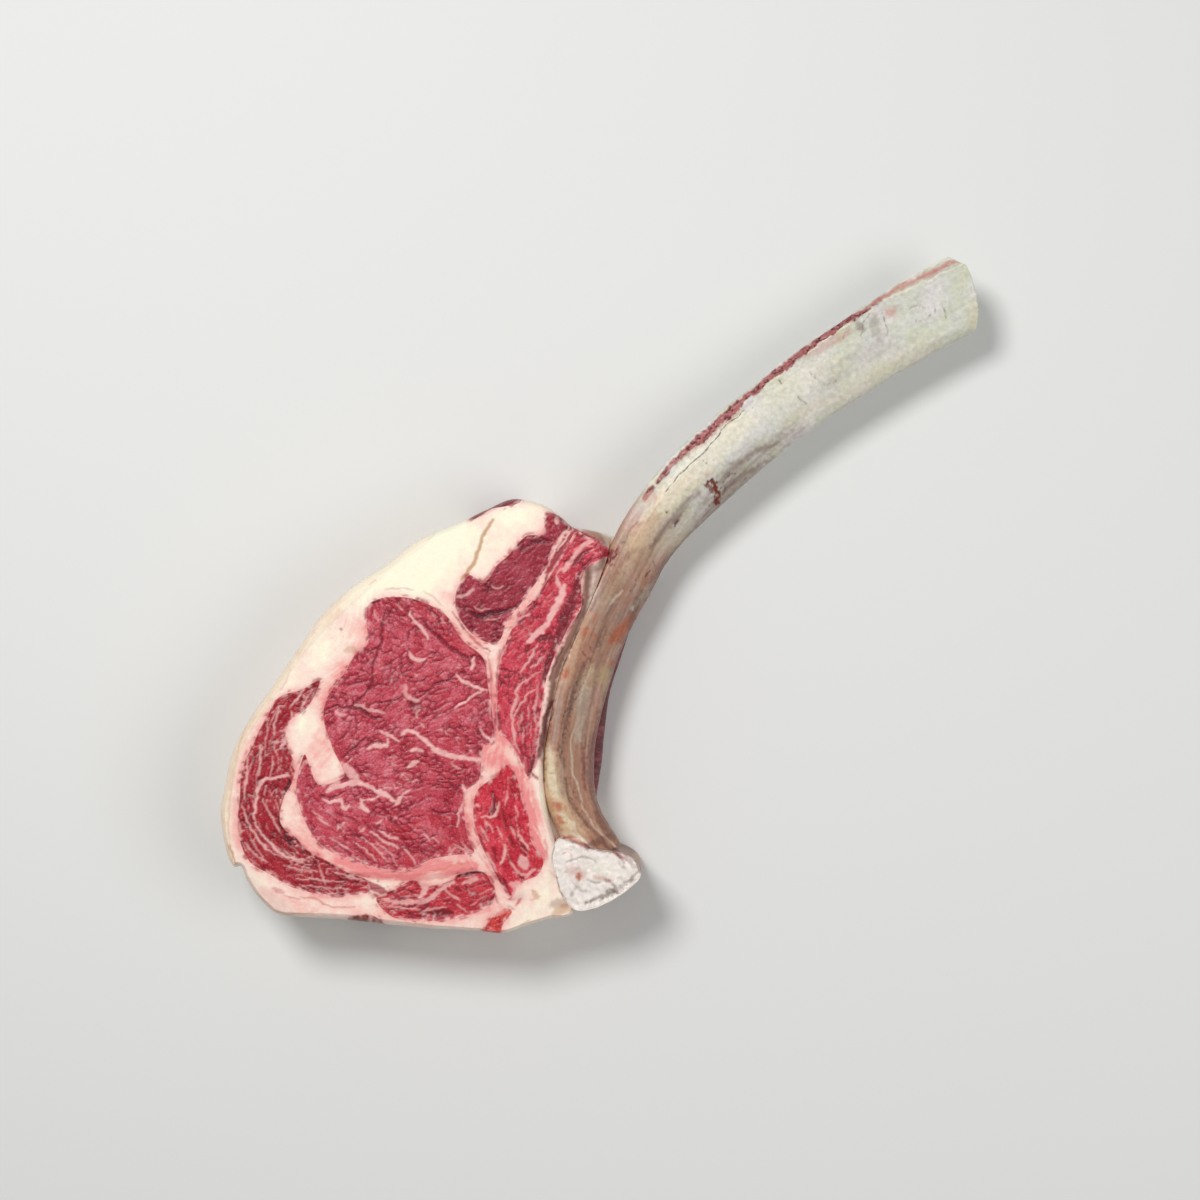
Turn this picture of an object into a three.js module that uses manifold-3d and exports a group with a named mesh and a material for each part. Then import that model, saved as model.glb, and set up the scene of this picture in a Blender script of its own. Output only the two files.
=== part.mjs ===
// A raw tomahawk steak: a thick rib steak with one long, cleaned rib bone left on.
// Millimetres, +Z up. It lies on its lower cut face, with the other cut face up.
// The origin is under the middle of the whole steak, on the surface that it lies on.

import * as THREE from 'three';
import { mergeVertices } from 'three/addons/utils/BufferGeometryUtils.js';
import Module from 'manifold-3d';

// ---- driving dimensions ------------------------------------------------------

const STEAK_THICKNESS = 52; // one rib and the meat on both sides of it
const LEAN_DROP = 0.6; // the lean has sunk a little below the fat round it
const SEAM_GAP = 0.3; // between neighbours
const FACE_WAVE = 0.7; // height of the slow swells of a cut face

const BONE_HALF_THICKNESS = 6.5;
const BONE_SQUARENESS = 2.5; // power of the section's superellipse: 2 is an ellipse
const BONE_SIDES = 20;
const BONE_RINGS = 44;
const SAWN_STRIP_TILT = 42; // degrees from the bone's edge towards its inner face
const SAWN_STRIP_REACH = 0.8; // of the section's reach that way, up to the flat sawn strip
const BONE_END_TILT = 35; // degrees: the sawn end leans back under the bone
const BONE_END_BEARING = 17; // degrees from +X, of the sawn end's outward direction
const BONE_END = [171, 143.5, 28]; // middle of the sawn end

const HEAD_TOP = 50.5; // sawn face of the rib's head, just under the cut face
const HEAD_FLARE = 1.02; // the head's sides spread towards the bottom
const HEAD_FLARED_BELOW = 20;
const HEAD_WEAR = 0.97; // the edges of its sawn faces are worn in, over the height of
const HEAD_WEAR_HEIGHT = 3;

const SAMPLES_PER_SPAN = 2; // straight pieces between two points of an outline
const CUTTER_SIZE = 400; // a cube larger than the steak both ways

// ---- outlines of the cut face, seen from above ---------------------------------

// The steak's own rim, anticlockwise from the top of the fat cap. The third number is
// how far the rim has moved towards +X at the bottom, where the side follows the rib.
const RIM = [
  [-24, 43, 0], [-32, 46, 0], [-41, 47, 0], [-51, 43, 0], [-65, 36, 0], [-84, 28, 0],
  [-100, 16, 0], [-115, 6, 0], [-130, -8, 0], [-139, -21, 0], [-152, -40, 0], [-162, -54, 0],
  [-170, -69, 0], [-174, -86, 0], [-176, -98, 0], [-174, -113, 0], [-171.5, -121, 0],
  [-169, -124, 0], [-166.5, -123.5, 0], [-164, -129, 0], [-158, -138, 0], [-149.5, -145.5, 0],
  [-138, -147, 0], [-121, -148, 0], [-103, -150, 0], [-83, -152, 0], [-57, -153.5, 0],
  [-44.5, -154.5, 0], [-33.5, -151, 0], [-23, -148, 1], [-13, -145.5, 2], [-11, -135, 5],
  [-18, -116, 14], [-24, -94, 22.5], [-25, -78, 26], [-23, -62, 25.5], [-19, -44, 24],
  [-13, -25, 24], [-5, -5, 22], [2, 14, 20], [3, 25, 12], [0, 31, 4], [-6.5, 33, 0],
  [-12.5, 34, 0], [-18, 38.5, 0],
];
const RIM_CENTRE = [-80, -62];
const LEAN_FROM_Z = 46; // above this the right side stands straight
const LEAN_TO_Z = 16; // below this it has moved all the way

// How far the side has drawn in from the rim at each height: a soft, crowned side.
const SIDE_PROFILE = [
  [0, 4], [2.5, 1.6], [8, 0.4], [24, 0], [42, 0], [48.4, 0.9], [51.2, 2.6],
];
const FACE_RINGS = [0.95, 0.8, 0.62, 0.42, 0.22]; // rings of the top face, as shares of the rim

const EYE = [
  [-107, -3], [-102, 0.5], [-92, 1.5], [-81, -1], [-71, -7], [-63, -18.5], [-53.5, -27],
  [-51.5, -39], [-49.5, -51.5], [-49, -65], [-53.5, -67], [-54.5, -74], [-56, -84], [-62, -88],
  [-62.5, -97.5], [-60.5, -109.5], [-58, -116.5], [-66.5, -117.5], [-77.5, -119.5],
  [-89.5, -124.5], [-104, -123], [-119.5, -118], [-129.5, -112], [-136.5, -100.5],
  [-140, -87.5], [-138.5, -78], [-136, -71], [-133.5, -77.5], [-129.5, -85], [-118, -81],
  [-123, -69], [-127.5, -54], [-126, -45.5], [-117.5, -33], [-112, -24], [-107, -20],
  [-107.5, -11.5],
];
const CAP = [
  [-129, -37], [-138, -41.5], [-147.5, -44.5], [-153.5, -54], [-160, -66.5], [-165, -79],
  [-166, -92], [-167, -102], [-165.5, -112.5], [-161, -121], [-152, -126.5], [-142.5, -132],
  [-129.5, -135.5], [-115, -136], [-106, -134], [-107.5, -129], [-116, -125.5], [-125, -120.5],
  [-135, -115], [-139, -110.5], [-147, -103], [-146, -92], [-142, -84.5], [-140.5, -76],
  [-144.5, -65.5], [-143, -56], [-138, -52.5], [-134, -48.5],
];
const LOWER_CAP = [
  [-103, -137.5], [-94, -133], [-86.5, -129], [-78, -131.5], [-69.5, -129.5], [-64.5, -126],
  [-53.5, -125.5], [-48.5, -132.5], [-49, -138.5], [-53.5, -142.5], [-65.5, -146.5],
  [-80.5, -148], [-95.5, -146],
];
const CHINE = [
  [-44, -75.5], [-40, -78.5], [-37.5, -84], [-36, -92], [-33, -99], [-31.5, -111.5], [-26, -120],
  [-29, -127], [-37, -130.5], [-41, -137.5], [-45.5, -131.5], [-51.5, -119.5], [-56, -109.5],
  [-58.5, -97.5], [-56.5, -87.5], [-51.5, -83.5], [-47.5, -81],
];
const UPPER = [
  [-24, 39], [-27, 30.5], [-34, 29.5], [-43, 20], [-47.5, 16], [-51, 10.5], [-54, 8],
  [-56.5, 9.5], [-60.5, 11.5], [-66, 4.5], [-66, -5.5], [-60.5, -14], [-52.5, -19.5], [-46.5, -19],
  [-43, -10], [-39, -5], [-32, 4.5], [-24.5, 15.5], [-20, 25.5], [-14.5, 34], [-18, 38],
];
const RIB_SIDE = [
  [-10.5, 31.5], [-17, 21], [-22.5, 12], [-30, 1], [-37.5, -7.5], [-42, -16.5], [-46, -26.5],
  [-47.5, -44.5], [-46.5, -61], [-42, -65], [-37.5, -72], [-33, -81.5], [-30.5, -76.5],
  [-28.5, -65.5], [-27, -50.5], [-24.5, -36], [-20, -24], [-14, -12], [-8.5, -3], [-8.5, 8.5],
  [-5.5, 15.5], [0, 18.5], [5.5, 22], [0, 27], [-5.5, 29],
];
// These outlines reach past the rim, so that their pieces show on the side as well.
const TRAPEZIUS = [
  [-59.5, 37], [-50, 42], [-43.5, 43], [-36.5, 45.5], [-37, 52], [-52, 50], [-62, 42],
];
const CHINE_TRIM = [
  [-53.5, -152], [-49.5, -146], [-43, -142], [-40.5, -143.5], [-45, -150], [-47, -160], [-55, -160],
];
const BOTTOM_EDGE = [
  [-116, -146.5], [-110.5, -145], [-104, -145.5], [-99.5, -149.5], [-100, -158], [-116, -158],
];
// The strip of meat from between the ribs, left under the bone: it shows below the bone's edge.
const INTERCOSTAL = [
  [30, 22], [15, 15], [5, -3], [-2, -25], [-8, -45], [-12.5, -62], [-14.5, -78], [-13, -94],
  [12, -94], [12, -60], [20, -30], [30, -5],
];
// Inner edge of the outer sheet of fat; from its ends the outline goes round outside the rim.
const OUTER_SHEET = [
  [-72, 40], [-79, 27], [-92, 17.5], [-114, -2], [-128, -15.5], [-138, -27], [-152.5, -48],
  [-160, -59.5], [-165.5, -70.5], [-169, -85], [-170.5, -97.5], [-170.5, -110.5],
  [-168, -121.5], [-167, -130], [-185, -130], [-190, -95], [-180, -60], [-150, 0], [-76, 46],
];

// ---- the rib, from its sawn end down into the meat -------------------------------

// Centre of the section, half its width, and how far its inner face has turned from lying
// level (degrees): flat and broad at the free end, steep beside the meat.
const RIB = [
  { at: [184, 151, 28], half: 19.3, turn: 7 },
  { at: [150.5, 133.5, 28.2], half: 19.3, turn: 8 },
  { at: [125.5, 118, 28.5], half: 18.4, turn: 9 },
  { at: [103.5, 103.5, 28.9], half: 18, turn: 11 },
  { at: [84, 89, 29.3], half: 17.5, turn: 13 },
  { at: [63.5, 72.5, 29.9], half: 18, turn: 18 },
  { at: [45.5, 56, 30.5], half: 18.2, turn: 25 },
  { at: [24, 31.5, 31], half: 17.6, turn: 36 },
  { at: [11, 7, 31.5], half: 17.2, turn: 43 },
  { at: [-1.5, -19, 32], half: 17.4, turn: 47 },
  { at: [-10.5, -47, 32.5], half: 17.4, turn: 48 },
  { at: [-14.5, -74, 33.5], half: 17, turn: 49 },
  { at: [-12, -97, 36], half: 15.5, turn: 48 },
  { at: [0.5, -119, 41], half: 13, turn: 44 },
];
const STRIP_ENDS_AT = 7; // station where the sawn strip has run out

// Outline of the rib's sawn head, seen from above.
const HEAD = [
  [-19, -109.5], [-23, -118], [-20.5, -128], [-17.5, -137], [-12, -143], [-4, -143], [6, -138.5],
  [14, -133], [19, -127.5], [17.5, -121], [12, -117], [5, -115.5], [-4, -114], [-12, -111],
];

// ---- solids -----------------------------------------------------------------------

const wasm = await Module();
wasm.setup();

function solidOf(geometry) {
  geometry.deleteAttribute('normal');
  geometry.deleteAttribute('uv');
  const merged = mergeVertices(geometry, 1e-4);
  return new wasm.Manifold(new wasm.Mesh({
    numProp: 3,
    vertProperties: new Float32Array(merged.attributes.position.array),
    triVerts: new Uint32Array(merged.index.array),
  }));
}

function largestPiece(solid) {
  return solid.decompose().reduce((kept, piece) => (piece.volume() > kept.volume() ? piece : kept));
}

function geometryOf(solid) {
  const mesh = solid.getMesh();
  const geometry = new THREE.BufferGeometry();
  geometry.setAttribute('position', new THREE.Float32BufferAttribute(mesh.vertProperties, 3));
  geometry.setIndex(new THREE.Uint32BufferAttribute(mesh.triVerts, 1));
  geometry.computeVertexNormals();
  return geometry;
}

// A smooth closed loop through the points, moved outwards by `grow`.
function closedLoop(points, samplesPerSpan, grow = 0) {
  const corners = points.map(([x, y, lean = 0]) => new THREE.Vector3(x, y, lean));
  const curve = new THREE.CatmullRomCurve3(corners, true, 'centripetal');
  const loop = curve.getPoints(points.length * samplesPerSpan).slice(0, -1);
  const outwards = Math.sign(THREE.ShapeUtils.area(loop));
  return loop.map((point, i) => {
    const before = loop.at(i - 1);
    const after = loop[(i + 1) % loop.length];
    const out = new THREE.Vector3(after.y - before.y, before.x - after.x, 0).normalize();
    return point.clone().addScaledVector(out, grow * outwards);
  });
}

// An upright prism on a loop, taller than the steak at both ends.
function muscleCutter(points, grow = 0) {
  const shape = new THREE.Shape(closedLoop(points, SAMPLES_PER_SPAN, grow));
  const overshoot = 10;
  const prism = new THREE.ExtrudeGeometry(shape, {
    depth: STEAK_THICKNESS + 2 * overshoot,
    bevelEnabled: false,
  });
  return solidOf(prism.translate(0, 0, -overshoot));
}

// Slow swells of the upper cut face, as soft meat settles.
function faceHeight(x, y) {
  return STEAK_THICKNESS - FACE_WAVE + FACE_WAVE * Math.sin(x / 21 + 0.6) * Math.cos(y / 26 - 0.4);
}

// A closed mesh through rings of equal length, with a point at each end.
function ringsToGeometry(rings, firstTip, lastTip) {
  const around = rings[0].length;
  const vertices = [firstTip, ...rings.flat(), lastTip];
  const indices = [];
  const last = vertices.length - 1;
  for (let i = 0; i < around; i += 1) {
    const next = (i + 1) % around;
    indices.push(0, 1 + next, 1 + i);
    for (let ring = 0; ring < rings.length - 1; ring += 1) {
      const lower = 1 + ring * around;
      const upper = lower + around;
      indices.push(lower + i, lower + next, upper + next, lower + i, upper + next, upper + i);
    }
    const top = 1 + (rings.length - 1) * around;
    indices.push(last, top + i, top + next);
  }
  const geometry = new THREE.BufferGeometry().setFromPoints(vertices);
  geometry.setIndex(indices);
  return geometry;
}

// The whole block of meat and fat, without the bone. `drop` lowers the upper face.
function steakBlock(drop = 0) {
  const rim = closedLoop(RIM, SAMPLES_PER_SPAN);
  const inwards = closedLoop(RIM, SAMPLES_PER_SPAN, -1).map((point, i) => point.sub(rim[i]));
  const [centreX, centreY] = RIM_CENTRE;

  const rings = SIDE_PROFILE.map(([z, inset]) => {
    const moved = THREE.MathUtils.clamp((LEAN_FROM_Z - z) / (LEAN_FROM_Z - LEAN_TO_Z), 0, 1);
    return rim.map((point, i) => new THREE.Vector3(
      point.x + inwards[i].x * inset + point.z * moved,
      point.y + inwards[i].y * inset,
      z - (z > LEAN_FROM_Z ? drop : 0),
    ));
  });
  for (const share of FACE_RINGS) {
    rings.push(rim.map((point) => {
      const x = centreX + (point.x - centreX) * share;
      const y = centreY + (point.y - centreY) * share;
      return new THREE.Vector3(x, y, faceHeight(x, y) - drop);
    }));
  }
  const bottom = new THREE.Vector3(centreX, centreY, 0);
  const top = new THREE.Vector3(centreX, centreY, faceHeight(centreX, centreY) - drop);
  return solidOf(ringsToGeometry(rings, bottom, top));
}

// One section of the rib: an oval across the bone, with its upper edge sawn flat.
function ribSection(half, thickness, isSawn) {
  const tilt = THREE.MathUtils.degToRad(SAWN_STRIP_TILT);
  const strip = new THREE.Vector2(Math.cos(tilt), Math.sin(tilt));
  const power = 2 / BONE_SQUARENESS;
  const points = [];
  for (let i = 0; i < BONE_SIDES; i += 1) {
    const angle = (-2 * Math.PI * i) / BONE_SIDES; // clockwise, seen along the bone
    const across = Math.cos(angle);
    const through = Math.sin(angle);
    points.push(new THREE.Vector2(
      half * Math.sign(across) * Math.abs(across) ** power,
      thickness * Math.sign(through) * Math.abs(through) ** power,
    ));
  }
  if (isSawn) {
    const reach = SAWN_STRIP_REACH * Math.max(...points.map((point) => point.dot(strip)));
    for (const point of points) {
      point.addScaledVector(strip, Math.min(0, reach - point.dot(strip)));
    }
  }
  return points;
}

// The rib's long curved shaft, `grow` larger all round.
function ribShaft(grow = 0) {
  const centreLine = new THREE.CatmullRomCurve3(RIB.map(({ at }) => new THREE.Vector3(...at)));
  const sizes = new THREE.CatmullRomCurve3(RIB.map(({ half, turn }, i) => new THREE.Vector3(half, turn, i)));
  const up = new THREE.Vector3(0, 0, 1);
  const rings = [];
  for (let ring = 0; ring <= BONE_RINGS; ring += 1) {
    const along = ring / BONE_RINGS;
    const centre = centreLine.getPoint(along);
    const size = sizes.getPoint(along);
    const turn = THREE.MathUtils.degToRad(size.y);
    const heading = centreLine.getTangent(along).setZ(0).normalize();
    const backSide = new THREE.Vector3(heading.y, -heading.x, 0);
    const across = backSide.clone().multiplyScalar(Math.cos(turn)).addScaledVector(up, Math.sin(turn));
    const through = backSide.clone().multiplyScalar(-Math.sin(turn)).addScaledVector(up, Math.cos(turn));
    const section = ribSection(size.x + grow, BONE_HALF_THICKNESS + grow, size.z < STRIP_ENDS_AT);
    rings.push(section.map((point) => centre.clone()
      .addScaledVector(across, point.x)
      .addScaledVector(through, point.y)));
  }
  const first = centreLine.getPoint(0);
  const last = centreLine.getPoint(1);
  return solidOf(ringsToGeometry(rings, first, last));
}

// The saw's cut across the free end: everything beyond it is taken off.
function ribEndCutter() {
  const cutter = new THREE.BoxGeometry(CUTTER_SIZE, CUTTER_SIZE, CUTTER_SIZE);
  cutter.translate(CUTTER_SIZE / 2, 0, 0);
  cutter.rotateY(THREE.MathUtils.degToRad(BONE_END_TILT));
  cutter.rotateZ(THREE.MathUtils.degToRad(BONE_END_BEARING));
  const [x, y, z] = BONE_END;
  return solidOf(cutter.translate(x, y, z));
}

// The rib's head: a block of bone, sawn flat above and below, its sides spreading downwards.
function ribHead(grow = 0) {
  const loop = closedLoop(HEAD, SAMPLES_PER_SPAN, grow);
  const centre = loop.reduce((sum, point) => sum.add(point), new THREE.Vector3())
    .divideScalar(loop.length);
  const levels = [
    [-grow, HEAD_WEAR], [HEAD_WEAR_HEIGHT, HEAD_FLARE], [HEAD_FLARED_BELOW, HEAD_FLARE],
    [HEAD_TOP - HEAD_WEAR_HEIGHT, 1], [HEAD_TOP + grow, HEAD_WEAR],
  ];
  const rings = levels.map(([z, scale]) => loop.map((point) => new THREE.Vector3(
    centre.x + (point.x - centre.x) * scale,
    centre.y + (point.y - centre.y) * scale,
    z,
  )));
  return solidOf(ringsToGeometry(
    rings,
    new THREE.Vector3(centre.x, centre.y, -grow),
    new THREE.Vector3(centre.x, centre.y, HEAD_TOP + grow),
  ));
}

// The saw's level cut through the head, where the rib comes up through the cut face.
function headTopCutter(grow) {
  return solidOf(new THREE.BoxGeometry(CUTTER_SIZE, CUTTER_SIZE, CUTTER_SIZE)
    .translate(0, 0, HEAD_TOP + grow + CUTTER_SIZE / 2));
}

function ribBone(grow = 0) {
  return ribShaft(grow).subtract(ribEndCutter()).add(ribHead(grow)).subtract(headTopCutter(grow));
}

// ---- materials --------------------------------------------------------------------

const COLOURS = {
  bone: 0xcfccbf,
  fat: 0xf7dcc8,
  outerFat: 0xf8ecd2,
  eye: 0xb04a55,
  cap: 0x8e2a36,
  lowerCap: 0x9c2f38,
  chine: 0xb3303a,
  upper: 0x9a3540,
  ribSide: 0xa83a44,
  darkMeat: 0x6e2026,
  brownMeat: 0x8a4034,
};

function rawMeat(colour) {
  return new THREE.MeshStandardMaterial({ color: colour, roughness: 0.42, metalness: 0 });
}

// ---- the steak --------------------------------------------------------------------

const MUSCLES = [
  { name: 'eye_muscle', outline: EYE, colour: COLOURS.eye },
  { name: 'cap_muscle', outline: CAP, colour: COLOURS.cap },
  { name: 'lower_cap_muscle', outline: LOWER_CAP, colour: COLOURS.lowerCap },
  { name: 'chine_muscle', outline: CHINE, colour: COLOURS.chine },
  { name: 'upper_muscle', outline: UPPER, colour: COLOURS.upper },
  { name: 'rib_side_muscle', outline: RIB_SIDE, colour: COLOURS.ribSide },
  { name: 'trapezius_strip', outline: TRAPEZIUS, colour: COLOURS.darkMeat },
  { name: 'chine_trim_muscle', outline: CHINE_TRIM, colour: COLOURS.chine },
  { name: 'bottom_edge_muscle', outline: BOTTOM_EDGE, colour: COLOURS.brownMeat },
  { name: 'intercostal_strip', outline: INTERCOSTAL, colour: COLOURS.darkMeat },
];

const steak = new THREE.Group();

function addPiece(name, solid, colour) {
  const piece = new THREE.Mesh(geometryOf(largestPiece(solid)), rawMeat(colour));
  piece.name = name;
  steak.add(piece);
}

const boneClearance = ribBone(SEAM_GAP);
const leanBlock = steakBlock(LEAN_DROP).subtract(boneClearance);
let fat = steakBlock().subtract(boneClearance);

addPiece('rib_bone', ribBone(), COLOURS.bone);
for (const { name, outline, colour } of MUSCLES) {
  addPiece(name, leanBlock.intersect(muscleCutter(outline)), colour);
  fat = fat.subtract(muscleCutter(outline, SEAM_GAP));
}
addPiece('outer_fat_sheet', fat.intersect(muscleCutter(OUTER_SHEET)), COLOURS.outerFat);
addPiece('fat_body', fat.subtract(muscleCutter(OUTER_SHEET, SEAM_GAP)), COLOURS.fat);

// Put the middle of the whole steak over the origin.
const middle = new THREE.Box3().setFromObject(steak).getCenter(new THREE.Vector3());
steak.position.set(-middle.x, -middle.y, 0);

export default steak;
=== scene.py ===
"""A raw tomahawk steak, lying on its lower cut face: every muscle, the fat and the rib bone as pieces of
their own, with marbling, creases and seams in their surfaces. Metres, +Z up."""

import math

import bmesh
import bpy
import numpy as np
from mathutils import Matrix, Vector
from mathutils.kdtree import KDTree


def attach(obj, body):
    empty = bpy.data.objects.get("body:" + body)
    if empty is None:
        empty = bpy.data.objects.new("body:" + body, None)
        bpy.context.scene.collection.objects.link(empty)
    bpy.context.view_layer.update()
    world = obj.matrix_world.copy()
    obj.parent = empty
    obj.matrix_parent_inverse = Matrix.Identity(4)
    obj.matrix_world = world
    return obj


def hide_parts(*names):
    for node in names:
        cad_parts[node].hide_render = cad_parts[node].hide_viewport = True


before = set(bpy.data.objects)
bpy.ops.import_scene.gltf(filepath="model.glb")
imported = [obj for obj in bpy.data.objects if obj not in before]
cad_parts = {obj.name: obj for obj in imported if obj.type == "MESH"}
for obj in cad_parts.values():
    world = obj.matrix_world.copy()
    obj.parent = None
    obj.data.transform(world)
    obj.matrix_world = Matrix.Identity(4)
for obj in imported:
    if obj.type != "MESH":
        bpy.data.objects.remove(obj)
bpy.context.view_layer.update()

# ---- sizes ----------------------------------------------------------------------

MM = 0.001
THICKNESS = 52.0  # millimetres, as all the drawing's numbers are
SQUARE = 0.46  # one square of the drawing, in which the markings of the meat are given
ZERO = np.array([-0.586, -3.943])  # the drawing's zero, in the part's frame
CAMERA_HEIGHT = 1356.0
FACE_STEP = 0.46 * 1  # spacing of the net on the upper cut face
UNDER_STEP = 0.95 * 1
LEAN_DROP = 0.45  # the lean lies a little below the fat
FACE_WAVE = 0.7  # how far the cut face's slow swells rise and fall
CLEAR = 0.02  # what the meat and the bone keep from the planes above and below
SEAM_WANDER = 0.25  # how far a seam between two pieces strays from its outline
BEYOND = 90  # height well above the steak, to which the cutting tools reach
PRISM_FOOT, PRISM_TOP = -9.0, 70.0  # the muscles' cutting tools reach through the whole steak
SIDE_DRIFT = 16  # squares by which the markings wander on their way down the sides
SHARP = math.radians(50)  # edges are shaded as sharp from this angle
# the rib: its section is a rounded oblong, with a flat strip along the upper outer corner
SHAFT_HALF_THICKNESS = 6.45
SHAFT_SQUARENESS = 2.5
STRIP_TILT = math.radians(42)
STRIP_REACH = 0.8  # share of the corner's reach that the strip leaves
STRIP_ENDS_AT = 7.0  # station of the rib, counted from the free end
RIB_SHARE = 0.985
CARVED = -0.4  # the bone's surface lies about this far inside its smooth form
# the sawn free end is a little rounded: its middle stands out, its corners draw back
END_TILT = math.radians(35)
END_BEARING = math.radians(17)
END_MIDDLE = (171, 143.5, 28)
END_BULGE, END_CURVE = 0.35, 0.004
HEAD_TOP = 50.4  # the head's sawn face
HEAD_BEGINS, HEAD_IS_FULL = -106, -110  # the bone's finish changes between these, down the drawing

# ---- outlines, in millimetres from the drawing's zero ------------------------------

RIM = [  # the meat's outline, and how far to the right its side lies lower down
    (-24, 43, 0), (-32, 46, 0), (-41, 47, 0), (-51, 43, 0), (-65, 36, 0), (-84, 28, 0),
    (-100, 16, 0), (-115, 6, 0), (-130, -8, 0), (-139, -21, 0), (-152, -40, 0), (-162, -54, 0),
    (-170, -69, 0), (-174, -86, 0), (-176, -98, 0), (-174, -113, 0), (-171.5, -121, 0),
    (-169, -124, 0), (-166.5, -123.5, 0), (-164, -129, 0), (-158, -138, 0), (-149.5, -145.5, 0),
    (-138, -147, 0), (-121, -148, 0), (-103, -150, 0), (-83, -152, 0), (-57, -153.5, 0),
    (-44.5, -154.5, 0), (-33.5, -151, 0), (-23, -148, 1), (-13, -145.5, 2), (-11, -135, 5),
    (-18, -116, 14), (-24, -94, 22.5), (-25, -78, 26), (-23, -62, 25.5), (-19, -44, 24),
    (-13, -25, 24), (-5, -5, 22), (2, 14, 20), (3, 25, 12), (0, 31, 4), (-6.5, 33, 0),
    (-12.5, 34, 0), (-18, 38.5, 0),
]
LEAN_FROM, LEAN_TO = 46, 16  # heights between which the side leans out
SIDE_PROFILE = [  # height, and how far inside the outline the side lies there
    (-1.5, 6), (0, 4), (2.5, 1.6), (8, 0.4), (24, 0), (42, 0), (48.4, 0.9), (50.9, 2.4), (54, 6),
]
EYE = [
    (-107, -3), (-102, 0.5), (-92, 1.5), (-81, -1), (-71, -7), (-63, -18.5), (-53.5, -27),
    (-51.5, -39), (-49.5, -51.5), (-49, -65), (-53.5, -67), (-54.5, -74), (-56, -84), (-62, -88),
    (-62.5, -97.5), (-60.5, -109.5), (-58, -116.5), (-66.5, -117.5), (-77.5, -119.5),
    (-89.5, -124.5), (-104, -123), (-119.5, -118), (-129.5, -112), (-136.5, -100.5),
    (-140, -87.5), (-138.5, -78), (-136, -71), (-133.5, -77.5), (-129.5, -85), (-118, -81),
    (-123, -69), (-127.5, -54), (-126, -45.5), (-117.5, -33), (-112, -24), (-107, -20),
    (-107.5, -11.5),
]
CAP = [
    (-129, -37), (-138, -41.5), (-147.5, -44.5), (-153.5, -54), (-160, -66.5), (-165, -79),
    (-166, -92), (-167, -102), (-165.5, -112.5), (-161, -121), (-152, -126.5), (-142.5, -132),
    (-129.5, -135.5), (-115, -136), (-106, -134), (-107.5, -129), (-116, -125.5), (-125, -120.5),
    (-135, -115), (-139, -110.5), (-147, -103), (-146, -92), (-142, -84.5), (-140.5, -76),
    (-144.5, -65.5), (-143, -56), (-138, -52.5), (-134, -48.5),
]
LOWER_CAP = [
    (-103, -137.5), (-94, -133), (-86.5, -129), (-78, -131.5), (-69.5, -129.5), (-64.5, -126),
    (-53.5, -125.5), (-48.5, -132.5), (-49, -138.5), (-53.5, -142.5), (-65.5, -146.5),
    (-80.5, -148), (-95.5, -146),
]
CHINE = [
    (-44, -75.5), (-40, -78.5), (-37.5, -84), (-36, -92), (-33, -99), (-31.5, -111.5), (-26, -120),
    (-29, -127), (-37, -130.5), (-41, -137.5), (-45.5, -131.5), (-51.5, -119.5), (-56, -109.5),
    (-58.5, -97.5), (-56.5, -87.5), (-51.5, -83.5), (-47.5, -81),
]
UPPER = [
    (-24, 39), (-27, 30.5), (-34, 29.5), (-43, 20), (-47.5, 16), (-51, 10.5), (-54, 8),
    (-56.5, 9.5), (-60.5, 11.5), (-66, 4.5), (-66, -5.5), (-60.5, -14), (-52.5, -19.5), (-46.5, -19),
    (-43, -10), (-39, -5), (-32, 4.5), (-24.5, 15.5), (-20, 25.5), (-14.5, 34), (-18, 38),
]
RIB_SIDE = [
    (-10.5, 31.5), (-17, 21), (-22.5, 12), (-30, 1), (-37.5, -7.5), (-42, -16.5), (-46, -26.5),
    (-47.5, -44.5), (-46.5, -61), (-42, -65), (-37.5, -72), (-33, -81.5), (-30.5, -76.5),
    (-28.5, -65.5), (-27, -50.5), (-24.5, -36), (-20, -24), (-14, -12), (-8.5, -3), (-8.5, 8.5),
    (-5.5, 15.5), (0, 18.5), (5.5, 22), (0, 27), (-5.5, 29),
]
TRAPEZIUS = [
    (-59.5, 37), (-50, 42), (-43.5, 43), (-36.5, 45.5), (-37, 52), (-52, 50), (-62, 42),
]
CHINE_TRIM = [
    (-53.5, -152), (-49.5, -146), (-43, -142), (-40.5, -143.5), (-45, -150), (-47, -160), (-55, -160),
]
BOTTOM_EDGE = [
    (-116, -146.5), (-110.5, -145), (-104, -145.5), (-99.5, -149.5), (-100, -158), (-116, -158),
]
INTERCOSTAL = [
    (30, 22), (15, 15), (5, -3), (-2, -25), (-8, -45), (-12.5, -62), (-14.5, -78), (-13, -94),
    (12, -94), (12, -60), (20, -30), (30, -5),
]
OUTER_SHEET = [
    (-72, 40), (-79, 27), (-92, 17.5), (-114, -2), (-128, -15.5), (-138, -27), (-152.5, -48),
    (-160, -59.5), (-165.5, -70.5), (-169, -85), (-170.5, -97.5), (-170.5, -110.5),
    (-168, -121.5), (-167, -130), (-185, -130), (-190, -95), (-180, -60), (-150, 0), (-76, 46),
]
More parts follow.
